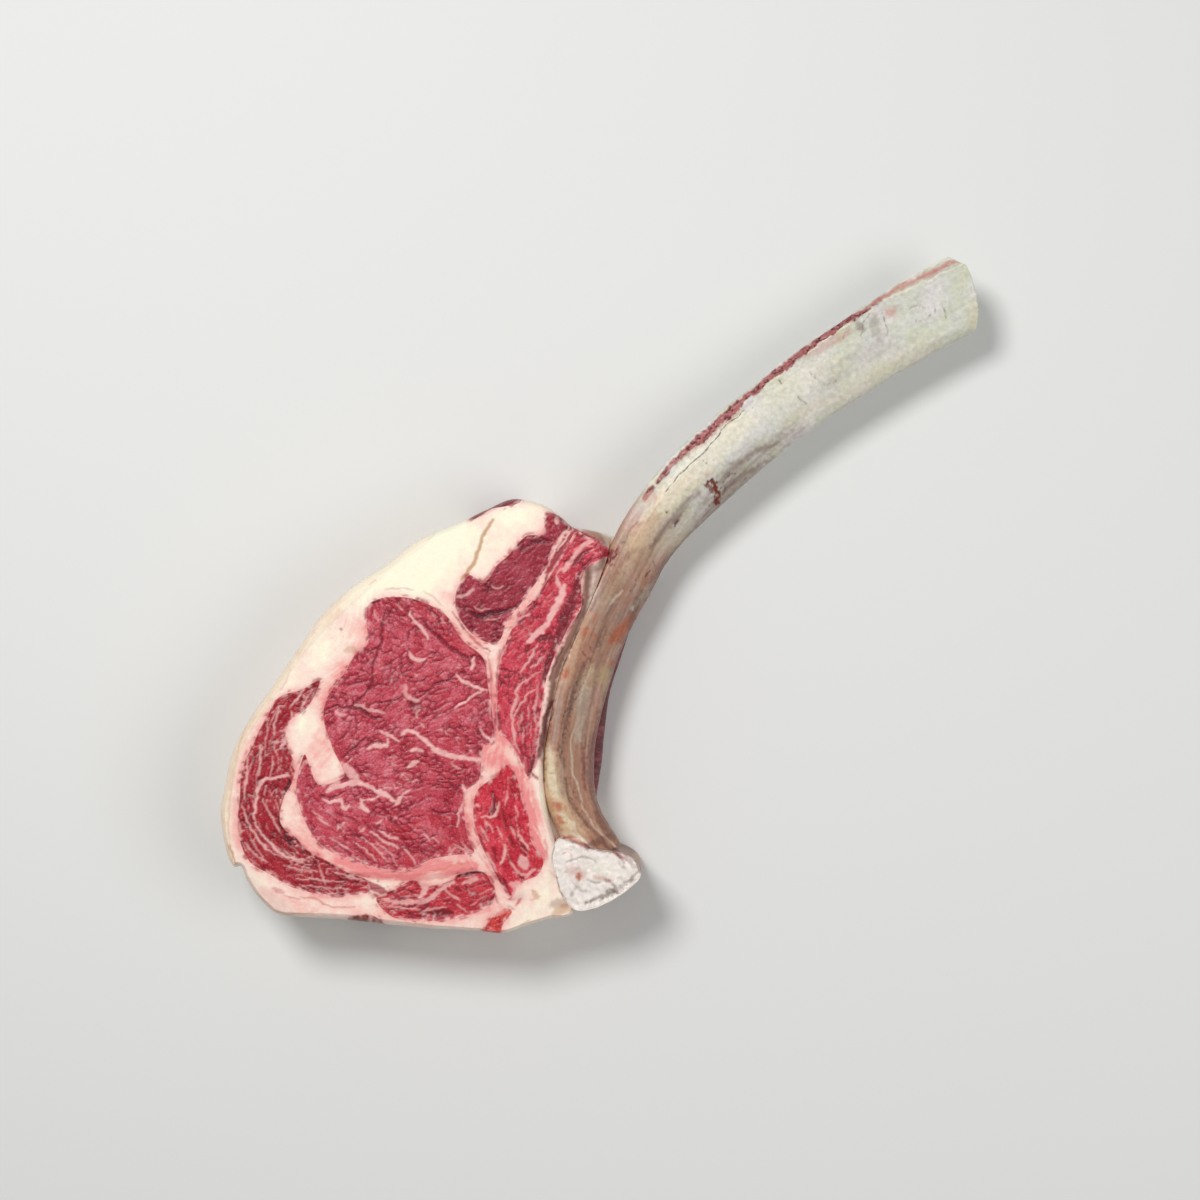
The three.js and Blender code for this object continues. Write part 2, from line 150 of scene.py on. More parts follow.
RIB = [  # middle of the section, half its width, and the turn of its inner face in degrees
    (184, 151, 28, 19.3, 7), (150.5, 133.5, 28.2, 19.3, 8), (125.5, 118, 28.5, 18.4, 9),
    (103.5, 103.5, 28.9, 18, 11), (84, 89, 29.3, 17.5, 13), (63.5, 72.5, 29.9, 18, 18),
    (45.5, 56, 30.5, 18.2, 25), (24, 31.5, 31, 17.6, 36), (11, 7, 31.5, 17.2, 43),
    (-1.5, -19, 32, 17.4, 47), (-10.5, -47, 32.5, 17.4, 48), (-14.5, -74, 33.5, 17, 49),
    (-12, -97, 36, 15.5, 48), (0.5, -119, 41, 13, 44),
]
HEAD = [
    (-19, -109.5), (-23, -118), (-20.5, -128), (-17.5, -137), (-12, -143), (-4, -143), (6, -138.5),
    (14, -133), (19, -127.5), (17.5, -121), (12, -117), (5, -115.5), (-4, -114), (-12, -111),
]
HEAD_LEVELS = [  # height, and size against the outline
    (-1, 0.96), (3, 1.02), (20, 1.02), (48.6, 1.0), (50.4, 0.988), (54, 0.96),
]
# how far the rib's meat side is raised at each station, so that it meets the cut face
RIB_LIFT = (0, 0, 0, 0, 0, 0, 0.3, 1.2, 2.6, 3.5, 3.6, 3.3, 2.2, 0.6)


# ---- curves and noise ----------------------------------------------------------------


def spline(points, per_span, closed=True):
    """Even steps along a smooth curve through the points (centripetal)."""
    p = np.asarray(points, float)
    if closed:
        before, start, stop, after = np.roll(p, 1, 0), p, np.roll(p, -1, 0), np.roll(p, -2, 0)
    else:
        q = np.vstack([2 * p[0] - p[1], p, 2 * p[-1] - p[-2]])
        before, start, stop, after = q[:-3], q[1:-2], q[2:-1], q[3:]
    gaps = [np.linalg.norm(b - a, axis=1)[:, None] ** 0.5 for a, b in
            ((before, start), (start, stop), (stop, after))]
    d0, d1, d2 = gaps
    leaving = d1 * ((start - before) / d0 - (stop - before) / (d0 + d1) + (stop - start) / d1)
    arriving = d1 * ((stop - start) / d1 - (after - start) / (d1 + d2) + (after - stop) / d2)
    t = (np.arange(per_span) / per_span)[None, :, None]
    a, b, m, n = start[:, None], stop[:, None], leaving[:, None], arriving[:, None]
    curve = (2 * t**3 - 3 * t**2 + 1) * a + (t**3 - 2 * t**2 + t) * m
    curve = curve + (3 * t**2 - 2 * t**3) * b + (t**3 - t**2) * n
    curve = curve.reshape(-1, p.shape[1])
    return curve if closed else np.vstack([curve, p[-1]])


def noise(points, size, seed, octaves=1):
    """Smooth noise in -1..1 over points in millimetres; `size` is the width of one swell."""
    p = np.asarray(points, float)
    if p.shape[1] == 2:
        p = np.column_stack([p, np.zeros(len(p))])
    total, reach, weight = np.zeros(len(p)), 0.0, 1.0
    for octave in range(octaves):
        table = np.random.default_rng(seed + octave).random((32, 32, 32)) * 2 - 1
        q = p * (2**octave / size) + 7.3 * octave
        cell = np.floor(q).astype(int)
        f = q - cell
        f = f * f * (3 - 2 * f)
        i, j = cell % 32, (cell + 1) % 32
        for corner in range(8):
            far = [corner >> axis & 1 for axis in range(3)]
            pick = [(j if far[axis] else i)[:, axis] for axis in range(3)]
            share = np.prod([f[:, axis] if far[axis] else 1 - f[:, axis] for axis in range(3)], axis=0)
            total += weight * share * table[tuple(pick)]
        reach += weight
        weight *= 0.5
    return total / reach


def ease(low, high, x):
    """0 at `low` and beyond, 1 at `high` and beyond, and a smooth rise between."""
    t = np.clip((x - low) / (high - low), 0, 1)
    return t * t * (3 - 2 * t)


# ---- maps of the cut face ------------------------------------------------------------

U0, V0, MAP_WIDTH, MAP_HEIGHT = 205, 485, 470, 465
grid_v, grid_u = np.mgrid[V0:V0 + MAP_HEIGHT, U0:U0 + MAP_WIDTH].astype(float)
grid_uv = np.column_stack([grid_u.ravel(), grid_v.ravel()])
grid_mm = np.column_stack([(grid_u.ravel() - 600) * SQUARE, (600 - grid_v.ravel()) * SQUARE])


def squares(points_mm):
    """Drawing squares (u to the right, v down) of points in millimetres."""
    p = np.asarray(points_mm, float)
    return np.column_stack([p[:, 0] / SQUARE + 600, 600 - p[:, 1] / SQUARE])


def inside(loop):
    """Map of the squares inside a closed loop."""
    a, b = loop, np.roll(loop, -1, 0)
    result = np.zeros(grid_u.shape, bool)
    for (u1, v1), (u2, v2) in zip(a, b):
        if v1 == v2:
            continue
        low, high = sorted((v1, v2))
        rows = slice(max(0, math.ceil(low - V0)), max(0, math.ceil(high - V0)))
        crossing = u1 + (grid_v[rows] - v1) * (u2 - u1) / (v2 - v1)
        result[rows] ^= grid_u[rows] < crossing
    return result


def line_distance(uv, line, reach):
    """Which points lie near a line, how far from it (squares), and how far along it (0 to 1)."""
    low, high = line.min(axis=0) - reach, line.max(axis=0) + reach
    near = np.flatnonzero(((uv > low) & (uv < high)).all(axis=1))
    u, v = uv[near, 0], uv[near, 1]
    distance, along = np.full(len(near), float(reach)), np.zeros(len(near))
    for k, (start, stop) in enumerate(zip(line[:-1], line[1:])):
        d = stop - start
        low, high = np.minimum(start, stop) - reach, np.maximum(start, stop) + reach
        close = np.flatnonzero((u > low[0]) & (u < high[0]) & (v > low[1]) & (v < high[1]))
        t = (u[close] - start[0]) * d[0] + (v[close] - start[1]) * d[1]
        t = np.clip(t / max(1e-9, d @ d), 0, 1)
        gap = np.hypot(u[close] - start[0] - t * d[0], v[close] - start[1] - t * d[1])
        nearer = gap < distance[close]
        distance[close[nearer]] = gap[nearer]
        along[close[nearer]] = (k + t[nearer]) / (len(line) - 1)
    return near, distance, along


def sample(field, uv):
    """Reads a map between its squares."""
    x = np.clip(uv[:, 0] - U0, 0, MAP_WIDTH - 1.001)
    y = np.clip(uv[:, 1] - V0, 0, MAP_HEIGHT - 1.001)
    i, j = x.astype(int), y.astype(int)
    fx, fy = x - i, y - j
    top = field[j, i] * (1 - fx) + field[j, i + 1] * fx
    low = field[j + 1, i] * (1 - fx) + field[j + 1, i + 1] * fx
    return top * (1 - fy) + low * fy


def blur(field, radius):
    """A soft blur: three box blurs each way."""
    r = max(1, int(round(radius)))
    for _ in range(3):
        for axis in (0, 1):
            padded = np.concatenate([np.repeat(field.take([0], axis), r + 1, axis), field,
                                     np.repeat(field.take([-1], axis), r, axis)], axis)
            total = np.cumsum(padded, axis)
            n, box = field.shape[axis], 2 * r + 1
            field = (total.take(range(box, box + n), axis) - total.take(range(n), axis)) / box
    return field


MUSCLES = {
    "eye": EYE, "cap": CAP, "lower_cap": LOWER_CAP, "chine": CHINE, "upper": UPPER,
    "rib_side": RIB_SIDE, "trapezius": TRAPEZIUS, "chine_trim": CHINE_TRIM,
    "bottom_edge": BOTTOM_EDGE, "intercostal": INTERCOSTAL,
}
EDGE_REACH = 45


def depth_in(loop):
    """Map of how many squares a place lies inside a closed loop; outside it is negative."""
    near, gap, _ = line_distance(grid_uv, np.vstack([loop, loop[:1]]), EDGE_REACH)
    distance = np.full(len(grid_uv), float(EDGE_REACH))
    distance[near] = gap
    return np.where(inside(loop), 1, -1) * distance.reshape(grid_u.shape)


depth = {name: depth_in(squares(spline(points, 6))) for name, points in MUSCLES.items()}
lean_depth = np.max([field for name, field in depth.items() if name != "intercostal"], axis=0)


# ---- markings, in squares of the drawing (u to the right, v down) ------------------------
# Each line: full width, strength, then the points that it runs through.

MARBLING = """
3.2 1 410,611 411,617 416,623 421,628 426,635 428,639
1.6 0.7 374,609 375,615 378,621
4 0.9 409,653 412,658 417,660 424,660
4 0.7 406,686 405,691 409,697 418,702
3 1 456,674 461,680 469,684 478,688 487,691
2.4 1 482,692 473,696 469,700 458,706 455,710
3 0.8 417,718 416,714 419,711
2 0.6 420,723 424,727
3 0.7 354,705 364,708 372,711 384,713
3 0.7 336,712 341,715 344,715
3 0.9 380,731 388,735 394,738 399,742
3.6 0.9 366,749 375,746 386,746 388,740
3 1 401,735 408,731 416,734 422,738
5 1 421,737 428,743 438,752 453,756 470,759 486,760
5 1 411,751 416,750 422,752
4 0.9 471,669 473,664 473,658
2.4 1 480,729 484,735 489,740 495,745
1.6 0.7 428,603 438,608 444,616
1.4 0.6 432,612 436,617
1.4 0.6 440,618 446,624
1.4 0.6 396,604 402,610
4 0.9 407,768 412,764 419,762
2 0.6 450,762 456,767 461,769
3.4 1 484,767 481,780 474,788 465,792 462,786
3 0.8 465,791 465,797 463,804 459,811 458,826
2 0.8 400,797 404,794 409,790
4 0.9 395,805 398,801 401,797
6 1 338,787 346,785 354,783 362,784
4.6 1 358,783 368,787 376,791 384,795 390,799 394,801
9 0.8 344,766 350,773 357,779
2.4 0.9 360,800 366,801 373,799 377,797 384,795
4.4 1 361,801 362,807 368,812
3 1 322,800 328,803 334,801 341,801 342,807 345,810 349,805
6 0.9 326,792 333,788 344,786
3 0.8 375,825 382,820
2.4 0.7 340,827 345,823
2.4 0.7 359,833 364,829
2.6 0.8 370,833 380,839 391,845 399,849
3 0.8 379,832 389,837 397,839
1.6 0.7 330,838 342,845 352,852
1.6 0.8 352,842 366,851 376,861
1.6 0.8 361,838 376,849 388,862
1.6 0.7 376,843 390,853 397,866
1.8 0.8 404,850 412,858 416,866
1.4 0.7 352,855 362,862
1.9 0.8 318,818 330,826
1.6 0.7 312,812 322,818
1.6 0.6 326,812 336,818
2 0.8 412,783 418,780
1.6 0.7 330,849 340,856
1.6 0.6 432,838 438,842
2.6 0.7 424,834 430,841
2 0.6 452,845 462,849 470,855
2.4 0.7 462,842 468,850 476,856
1.6 0.6 448,856 456,848
3.2 1 289,776 275,778 263,780 258,787 256,803 255,814
4 1 297,716 290,724 287,736 283,744 280,748
2.4 1 253,813 258,830 267,840 278,852 288,858 305,861
1.9 0.9 242,806 248,825 257,838 270,852 282,858
2.1 0.9 247,756 247,774 244,790 243,800
2.1 0.8 260,745 260,762 258,776
1.6 0.8 272,756 272,768 271,776
1.6 0.7 268,720 266,735 265,748
1.9 0.8 279,706 275,720 274,736
2.1 0.8 305,687 298,698 290,706
1.9 0.7 312,690 303,704 300,712
2.4 0.7 233,816 238,824 240,836
1.9 0.7 262,800 268,812 276,826 280,834
1.6 0.7 275,800 279,812
1.6 0.7 266,786 264,796
2.1 0.7 243,842 254,854 266,862
1.6 0.8 284,866 300,870 318,872
1.6 0.8 296,880 316,880 334,882
1.9 0.7 282,850 292,858 302,864
1.9 0.7 318,862 322,876 326,884
2 0.7 332,872 350,877 362,880
1.4 0.7 302,886 330,888 350,890
1.9 0.8 290,712 294,720
5 0.8 383,899 396,902 410,903 425,901 433,897 439,891 446,886 454,882
6 0.9 417,880 423,884 425,890 420,897
2.4 0.8 378,893 390,888 402,884
2 0.7 385,906 400,908 420,910
2 0.7 420,914 432,909 446,908
5 0.7 463,884 470,881 476,879
3 0.6 398,919 412,921 424,920
2 0.6 456,904 466,912
2.4 0.7 444,890 452,896 460,900
2.4 0.9 499,802 498,809 494,816 482,817
3 0.8 477,805 478,807
2.4 0.9 517,832 523,842 529,850
3 0.9 505,845 504,858 500,866
10 0.8 521,858 525,868
9 0.7 512,884 523,889
4 0.8 525,878 534,870
2 0.8 488,857 497,873
2 0.7 507,792 506,806
1.6 0.7 515,806 518,816
2 0.7 486,822 494,832
2 0.7 496,826 502,840
2 0.7 480,826 488,842
2 0.7 511,826 516,838
2.6 0.7 510,862 518,872 526,878
7 1 531,600 537,590 541,577
3 1 513,612 522,606 531,598
2.4 1 549,560 554,548 561,536 566,530
2.4 1 551,560 558,546 567,532 573,525
5 0.8 571,562 579,549 592,541
5 0.8 564,571 570,561
7 1 564,586 560,600 553,612 547,624
6 0.9 550,619 544,628 534,636 528,643
2.4 0.77 538,643 532,655 527,663 521,672
2.9 0.77 528,680 520,684 516,691 516,700 512,711 513,723 515,740 519,752
2.1 0.77 535,690 528,694 523,702 518,709 515,716
2.1 0.59 537,684 537,697 534,712 536,724 536,738
1.6 0.68 545,655 538,662 530,668
1.6 0.59 540,672 532,677 526,684
1.4 0.59 522,712 521,726
1.4 0.59 528,708 528,722
1.4 0.59 531,726 530,738
1.4 0.59 524,730 523,744
1.4 0.59 518,716 519,730
3 0.8 561,592 556,576
2.4 0.8 556,575 562,568 568,566
5 0.8 556,517 557,523
3 0.7 474,588 468,593 462,596 458,598
1.6 0.7 491,585 497,589 503,586
2 0.6 474,607 480,610 490,609
1.4 0.6 486,620 500,619
2.4 0.7 512,625 520,618 530,614
"""

# Painted shade: dark lines in the creases and slits of the cut face, and the shadow where the pieces meet.
CREASE_SHADE = """
2.6 .9 384,612 383,622 381,632 381,640 379,648 375,657 372,666 371,673 371,683
5 .8 371,676 371,684 367,690
2.6 .9 368,688 364,695 358,700 354,705 348,708
2.4 .7 359,653 364,651 372,650 380,648
2 .8 349,686 354,684 361,682 368,681
3 .6 373,686 380,684 388,686
1.8 .7 387,681 390,676 394,671
1.8 .8 400,665 401,673 406,677 416,679
1.8 .7 399,674 406,672 411,670 413,663
1.6 .7 416,670 422,667 426,661
1.4 .5 429,664 440,660 450,656
2.2 .9 416,691 424,692 431,689 434,686 440,682 450,679 454,674
1.8 .7 406,681 412,683 419,682 427,677
2.2 .8 371,705 375,702 385,703 392,701 399,698 403,694
1.8 .7 384,710 389,705 396,700
2.6 .9 326,710 335,706 343,708 350,706 355,707
4.4 1 354,707 361,710 366,713 370,716
2.6 1 368,713 373,718 380,719
2.2 1 344,758 350,751 357,745 365,738
2.8 .8 365,739 371,742 380,742 386,744
2.6 .6 372,738 382,741
1.8 .7 339,740 345,734 346,731
1.8 .7 407,704 410,700
1.8 .6 431,720 440,714 453,708 464,700 473,695
1.8 .5 430,712 442,706 452,701
3.6 .9 421,618 430,629 439,638 448,647 458,653 469,658 475,656
3 .8 424,606 434,614 442,622
3 .7 470,657 481,659 486,666
2 .8 418,626 409,631 407,640
1.8 .7 390,632 394,637 400,639
1.6 .7 386,618 392,626
1.6 .7 392,612 398,620 404,626
1.6 .6 404,606 412,612
1.8 .6 404,646 410,650
1.6 .6 382,655 390,652 396,655
2 .6 392,644 400,648
2.8 .7 328,700 333,697 337,700
2.4 .7 340,693 345,696
2 .7 330,722 335,727
2.4 .8 431,810 437,813 446,813 458,812
2 .8 399,812 408,807 416,803
1.8 .6 430,787 437,786 448,788
1.6 .6 402,820 414,817 424,816
1.6 .6 424,798 418,804
1.6 .6 445,800 450,806
2.8 0.44 360,822 369,829 380,838 389,842 398,845
9 0.44 398,844 408,850 420,850 432,851 441,849
4 0.39 418,858 424,864 429,860
4 .8 351,835 358,836 366,840
5 .7 383,809 389,818 398,827
3.4 0.44 366,826 373,828 380,826
2.6 0.44 402,838 412,841 424,845
2 .7 340,815 350,819 360,824
2 .7 352,846 362,854 370,862
2 .8 346,850 354,860
2 0.44 368,852 376,860 382,868
2 0.44 384,850 392,860
1.8 .7 471,709 473,716 471,722
1.6 0.33 442,830 441,849
1.6 .6 465,727 470,729
1.4 .5 460,738 468,735 476,736
2 .7 321,786 330,782 341,779 348,781
2.4 .8 322,796 329,798 336,796 346,792
2.6 .9 344,776 350,781
3.4 1 288,778 288,785 284,792
3.2 1 284,793 283,803 282,812
3.6 1 278,817 280,824 282,829
3.6 1 283,834 288,842 297,840
3.6 1 307,852 317,852 326,856
3 1 330,864 338,865 346,868
4 1 348,875 356,875 367,878
2 .9 354,881 358,884
3.4 1 455,877 464,875 475,873 483,873
1.8 .8 393,880 408,880
5 1 469,611 478,616 487,614 497,613 509,609
3 .7 510,609 520,604 528,598
2.4 .7 476,617 486,617
2 .7 492,580 490,588
6 .7 531,543 541,540 550,541
8 .7 538,640 547,637 556,639
10 .7 581,573 576,590 571,605 564,622 558,638 552,652
7 .8 552,652 547,666 543,682
5 .7 560,618 567,605
4 .7 575,565 583,553 592,549
2.2 .7 499,669 506,671 513,673
2.4 .7 498,710 499,722 500,732
2 .8 514,738 518,748 524,757
2 .7 524,742 525,752
5 .8 534,757 532,768 528,778
5 .8 492,793 495,802 492,812 490,815
2.2 .9 480,839 488,860 495,874 509,896
2.2 .9 515,836 521,843 528,852
4 .6 509,836 513,846
2.4 .7 493,848 496,862
2.4 .7 507,858 514,868
2.4 .7 516,872 524,881
2.4 .7 502,876 508,890
2.4 .6 488,826 484,836
2 .8 502,810 505,822 506,832
8 .7 420,909 436,913 451,913
3 .6 376,896 388,893 399,892
2 .7 402,908 416,906 430,903
2 .6 455,888 462,892
2 .7 551,712 545,730 541,748 538,762
"""

FLUSH = """
70 .4 385,855 415,850 450,840
7 1 504,766 502,779 497,788
6 .6 503,812 508,826 512,838
6 .8 508,844 509,854
9 .8 524,841 535,846
10 .9 530,857 541,863 537,873
9 .6 478,788 490,784
6 .6 387,864 396,870
8 .5 386,812 397,826
12 .5 405,849 436,851
10 .4 425,609 448,640 470,656
8 .5 548,520 553,528
10 .4 540,640 556,636
8 .4 495,732 502,700
8 .5 506,772 514,780
12 .3 440,770 470,772
"""

# Painted sheen: paler purplish patches where the moist cut face catches the light.
MAUVE_SHEEN = """
26 .8 340,716 352,724
20 .5 330,812 344,820
24 .9 424,830 440,842
16 .6 376,668 386,676
12 .6 372,622 372,640
18 .5 374,765 400,765
14 .5 478,592 472,600
16 .8 494,572 500,570
14 .6 506,566 522,566
16 .4 464,716 470,724
12 .7 390,720 404,724
10 .6 527,700 530,706
18 .5 464,898 474,898
14 .5 392,850 398,858
20 .5 390,790 420,792
14 .3 440,700 450,704
14 .3 410,660 440,672
12 .5 350,688 358,694
"""

FLOWS = """
376,605 376,640 372,650
388,604 410,616
400,600 440,640 475,662
430,602 447,620
345,690 368,680
335,705 350,690
400,680 415,668
417,691 454,674
430,720 474,695
440,740 480,735
350,751 366,738
340,740 346,731
360,770 400,765
400,775 450,770
400,800 430,790
440,830 443,850
450,815 458,830
330,810 370,830 400,846
330,830 370,850 400,862
410,850 440,848
318,682 300,692 283,700 272,712 262,735 255,760 248,785 248,810 256,835 272,855 295,868 330,878 370,885
275,740 268,770 262,800 268,825 285,845 310,858 340,870
250,740 243,770 240,800
375,892 400,890 425,888 450,882
380,905 410,908 440,910 470,905 495,895
503,768 500,785
490,785 488,812
510,775 512,810 514,830 530,850
485,830 495,860 508,890
515,840 535,868
463,600 475,585 500,570
465,620 500,612 525,600 540,580
480,630 500,628
515,560 540,530
575,528 556,555 545,580
590,545 570,565 556,590 545,610 530,640 515,660 505,690 503,730
578,585 565,615 550,645 535,675 526,700 524,730 527,755
"""


def lines_of(text):
    """Leading numbers and points of each line of a table of markings."""
    for row in text.split("\n"):
        words = row.split()
        if words:
            yield ([float(w) for w in words if "," not in w],
                   np.array([[float(n) for n in w.split(",")] for w in words if "," in w]))


def painted(text, uv=grid_uv, wander=1.4, swell=2.5, seed=77, soft=0.12, ragged=0.25):
    """Strokes that thin out towards their ends, wander a little and have ragged edges."""
    result = np.zeros(len(uv))
    shift = [wander * noise(uv * SQUARE, swell, seed + k, 2) for k in (0, 9)]
    moved = uv + np.column_stack(shift)
    rough = ragged * noise(uv * SQUARE, 1.1, seed + 18, 2)
    for (width, strength), points in lines_of(text):
        line = spline(points, 4, closed=False)
        near, distance, along = line_distance(moved, line, width * (1 + soft) + 2)
        taper = 0.45 + 0.55 * np.sqrt(np.sin(math.pi * np.clip(along, 0.01, 0.99)))
        half = width / 2 * (taper + rough[near])
        blend = 0.4 + soft * width
        result[near] = np.maximum(result[near], strength * ease(half + blend, half - blend, distance))
    return result


def painted_map(text, **manner):
    return painted(text, **manner).reshape(grid_u.shape)


def map_noise(size, seed, octaves=1):
    """Noise over the map; `size` in millimetres."""
    return noise(grid_mm, size, seed, octaves).reshape(grid_u.shape)


def fibre_directions():
    """Unit vectors along the run of the fibres, blended from the drawn flows."""
    places, turns = [], []
    for _, points in lines_of(FLOWS):
        line = spline(points, 3, closed=False)
        step = np.diff(line, axis=0)
        places.append((line[1:] + line[:-1]) / 2)
        turns.append(2 * np.arctan2(step[:, 1], step[:, 0]))
    places, turns = np.vstack(places), np.concatenate(turns)
    cosine, sine = np.zeros(grid_u.shape), np.zeros(grid_u.shape)
    for (u, v), turn in zip(places, turns):
        weight = 1 / (9 + (grid_u - u) ** 2 + (grid_v - v) ** 2) ** 1.6
        cosine += weight * math.cos(turn)
        sine += weight * math.sin(turn)
    angle = np.arctan2(sine, cosine) / 2 + 0.35 * map_noise(7, 61, 2)
    return np.cos(angle), np.sin(angle)


along_u, along_v = fibre_directions()


def streaks(seed, length):
    """Fine noise drawn out along the fibres."""
    grain = np.random.default_rng(seed).random(grid_u.shape)
    total = grain.copy()
    for side in (1, -1):
        uv = grid_uv.copy()
        last = np.column_stack([along_u.ravel(), along_v.ravel()]) * side
        for _ in range(length):
            step = np.column_stack([sample(along_u, uv), sample(along_v, uv)])
            step *= np.where((step * last).sum(axis=1) < 0, -1, 1)[:, None]
            uv = uv + 0.8 * step
            total += sample(grain, uv).reshape(grid_u.shape)
            last = step
    return (total - total.mean()) / total.std()


def bundles(length, width, seed):
    """Bundles of fibres, longer than wide: how near a place is to their walls, and a number for each."""
    spacing = math.sqrt(length * width)
    columns, rows = int(MAP_WIDTH / spacing) + 9, int(MAP_HEIGHT / spacing) + 9
    shift = np.random.default_rng(seed).random((rows, columns, 3))
    cell_u = ((grid_u - U0) / spacing).astype(int) + 4
    cell_v = ((grid_v - V0) / spacing).astype(int) + 4
    nearest = np.full(grid_u.shape, 1e9)
    second = np.full(grid_u.shape, 1e9)
    number = np.zeros(grid_u.shape)
    for dv in range(-3, 4):
        for du in range(-3, 4):
            jitter = shift[cell_v + dv, cell_u + du]
            u = (cell_u + du - 4 + jitter[..., 0]) * spacing + U0 - grid_u
            v = (cell_v + dv - 4 + jitter[..., 1]) * spacing + V0 - grid_v
            forth, aside = u * along_u + v * along_v, v * along_u - u * along_v
            distance = np.hypot(forth / length, aside / width)
            closer = distance < nearest
            second = np.where(closer, nearest, np.minimum(second, distance))
            number = np.where(closer, jitter[..., 2], number)
            nearest = np.minimum(nearest, distance)
    return second - nearest, number


# Share of the bundles' walls that are fat; share that are folds, painted in shade; long streaks of fat; 1
# if coarse.
GRAIN = {
    "eye": (0.24, 0.74, 0.0, 1), "cap": (0.6, 0.6, 0.2, 0), "lower_cap": (0.45, 0.65, 0.2, 0),
    "chine": (0.34, 0.55, 0.2, 0), "upper": (0.08, 0.55, 0.0, 1), "rib_side": (0.26, 0.65, 0.1, 0),
    "trapezius": (0.3, 0.4, 0.1, 0), "chine_trim": (0.4, 0.3, 0.2, 0),
    "bottom_edge": (0.5, 0.6, 0.2, 0), "intercostal": (0.4, 0.5, 0.2, 0),
}


def share_map(index):
    """One column of GRAIN, spread over the muscles' places."""
    result = np.zeros(grid_u.shape)
    for name, numbers in GRAIN.items():
        result = np.where(depth[name] > -1.5, numbers[index], result)
    return result


wall_fine, number_fine = bundles(11, 4.4, 71)
wall_coarse, number_coarse = bundles(10, 5.2, 72)
is_coarse = share_map(3)
wall = np.where(is_coarse > 0.5, wall_coarse, wall_fine)
number = np.where(is_coarse > 0.5, number_coarse, number_fine)
fibre = streaks(73, 4)
long_fibre = streaks(83, 12)
drift = map_noise(9, 74, 3)
breaks = map_noise(2.2, 85, 2)

lined = ease(0.15, 0.02, wall)
frayed = ease(4.5, 0.5, np.abs(lean_depth))  # both edges of the seams
fat_share, fold_share, streak_share = (share_map(index) for index in range(3))
fat_walls = lined * ease(0.1, 0.4, fat_share - 0.5 + 0.9 * map_noise(5, 75, 2) + 0.3 * breaks)
# the walls of the bundles that are folds, where shade is painted
shaded_folds = ease(0.05, 0.5, fold_share - 0.5 + 0.9 * map_noise(6, 76, 2) - 0.3 * breaks)
shaded_folds = ease(0.26, 0.05, wall) * shaded_folds
streaked = ease(1.5, 2.3, long_fibre + 1.2 * streak_share + 0.5 * map_noise(8, 84, 2))
streaked = streaked * ease(0, 0.2, streak_share)
lobule = 0.88 * painted_map(MARBLING, wander=1.6, swell=1.8, soft=0.05)
lobule = lobule * (0.75 + 0.25 * ease(-0.7, 0.1, breaks))
marbling = np.maximum(lobule, np.maximum(0.7 * fat_walls, 0.5 * streaked))
marbling = np.clip(np.maximum(marbling, 0.8 * frayed * ease(0.15, 0.5, breaks + 0.15 * fibre)), 0, 1)
# painted shade in the creases and folds of the lean; the creases are also sunk into the face
crease_shade = np.maximum(0.75 * shaded_folds, 0.4 * ease(1.4, 2.6, -long_fibre))
crease_shade = np.clip(np.maximum(painted_map(CREASE_SHADE, seed=78), crease_shade) - 0.8 * lobule, 0, 1)
flush = blur(painted_map(FLUSH, wander=3, swell=4, seed=79), 1.5)
mauve_sheen = blur(painted_map(MAUVE_SHEEN, wander=4, swell=6, seed=80), 3)
# tone: random, paler where the sheen is painted and darker where shade is painted in the creases
tone = 0.5 + 0.34 * (number - 0.5) + 0.14 * drift + 0.05 * fibre + 0.35 * mauve_sheen - 0.15 * crease_shade

FAT_PINK = """
26 .4 338,662 332,690 324,716
34 .4 368,600 350,620 335,645
8 .25 262,715 248,740 239,770 234,800 232,830 236,850
18 .4 400,592 375,596 362,622 358,648
15 1.0 521,772 529,800 535,830 540,856
12 .3 440,590 452,600
30 .2 262,890 300,905 350,906
28 .8 492,762 500,748
14 .7 506,768 524,782
14 1.05 340,860 370,870 400,873 440,868 475,866
10 .3 470,636 486,655 492,700 496,735
10 .3 474,790 466,820 474,848 488,870
26 .4 316,736 324,768
20 .45 292,812 300,842 320,856
16 .4 262,888 290,902 320,912
24 .2 440,915 480,912 530,900
"""
FAT_CREAM = """
70 .4 450,535 405,562 365,600
30 .25 500,512 520,515
2 .5 541,790 545,805 552,822 560,838
2 .5 524,778 532,800 541,830 544,850
8 .3 332,742 336,764
6 .3 306,700 302,716 300,730
30 .2 340,630 322,655
"""
FAT_RAW = """
9 1 575,526 566,541 556,558 548,572
7 1 547,514 558,518 568,523 580,534
6 .9 578,532 588,538 600,545 612,553
2.6 .9 547,572 545,586 537,602 524,613
2 .7 504,646 498,668 497,700
1.6 .6 489,655 491,680 492,705
2 .6 500,905 492,893 484,880
3 .6 540,742 536,760 530,776
5 .5 497,775 491,784
3 .7 545,519 548,530 540,543
2.4 .8 538,780 531,772
15 .85 352,880 368,886 380,893 392,899
3 .6 500,650 499,680 503,720
2.4 .7 452,612 470,636 490,652
"""
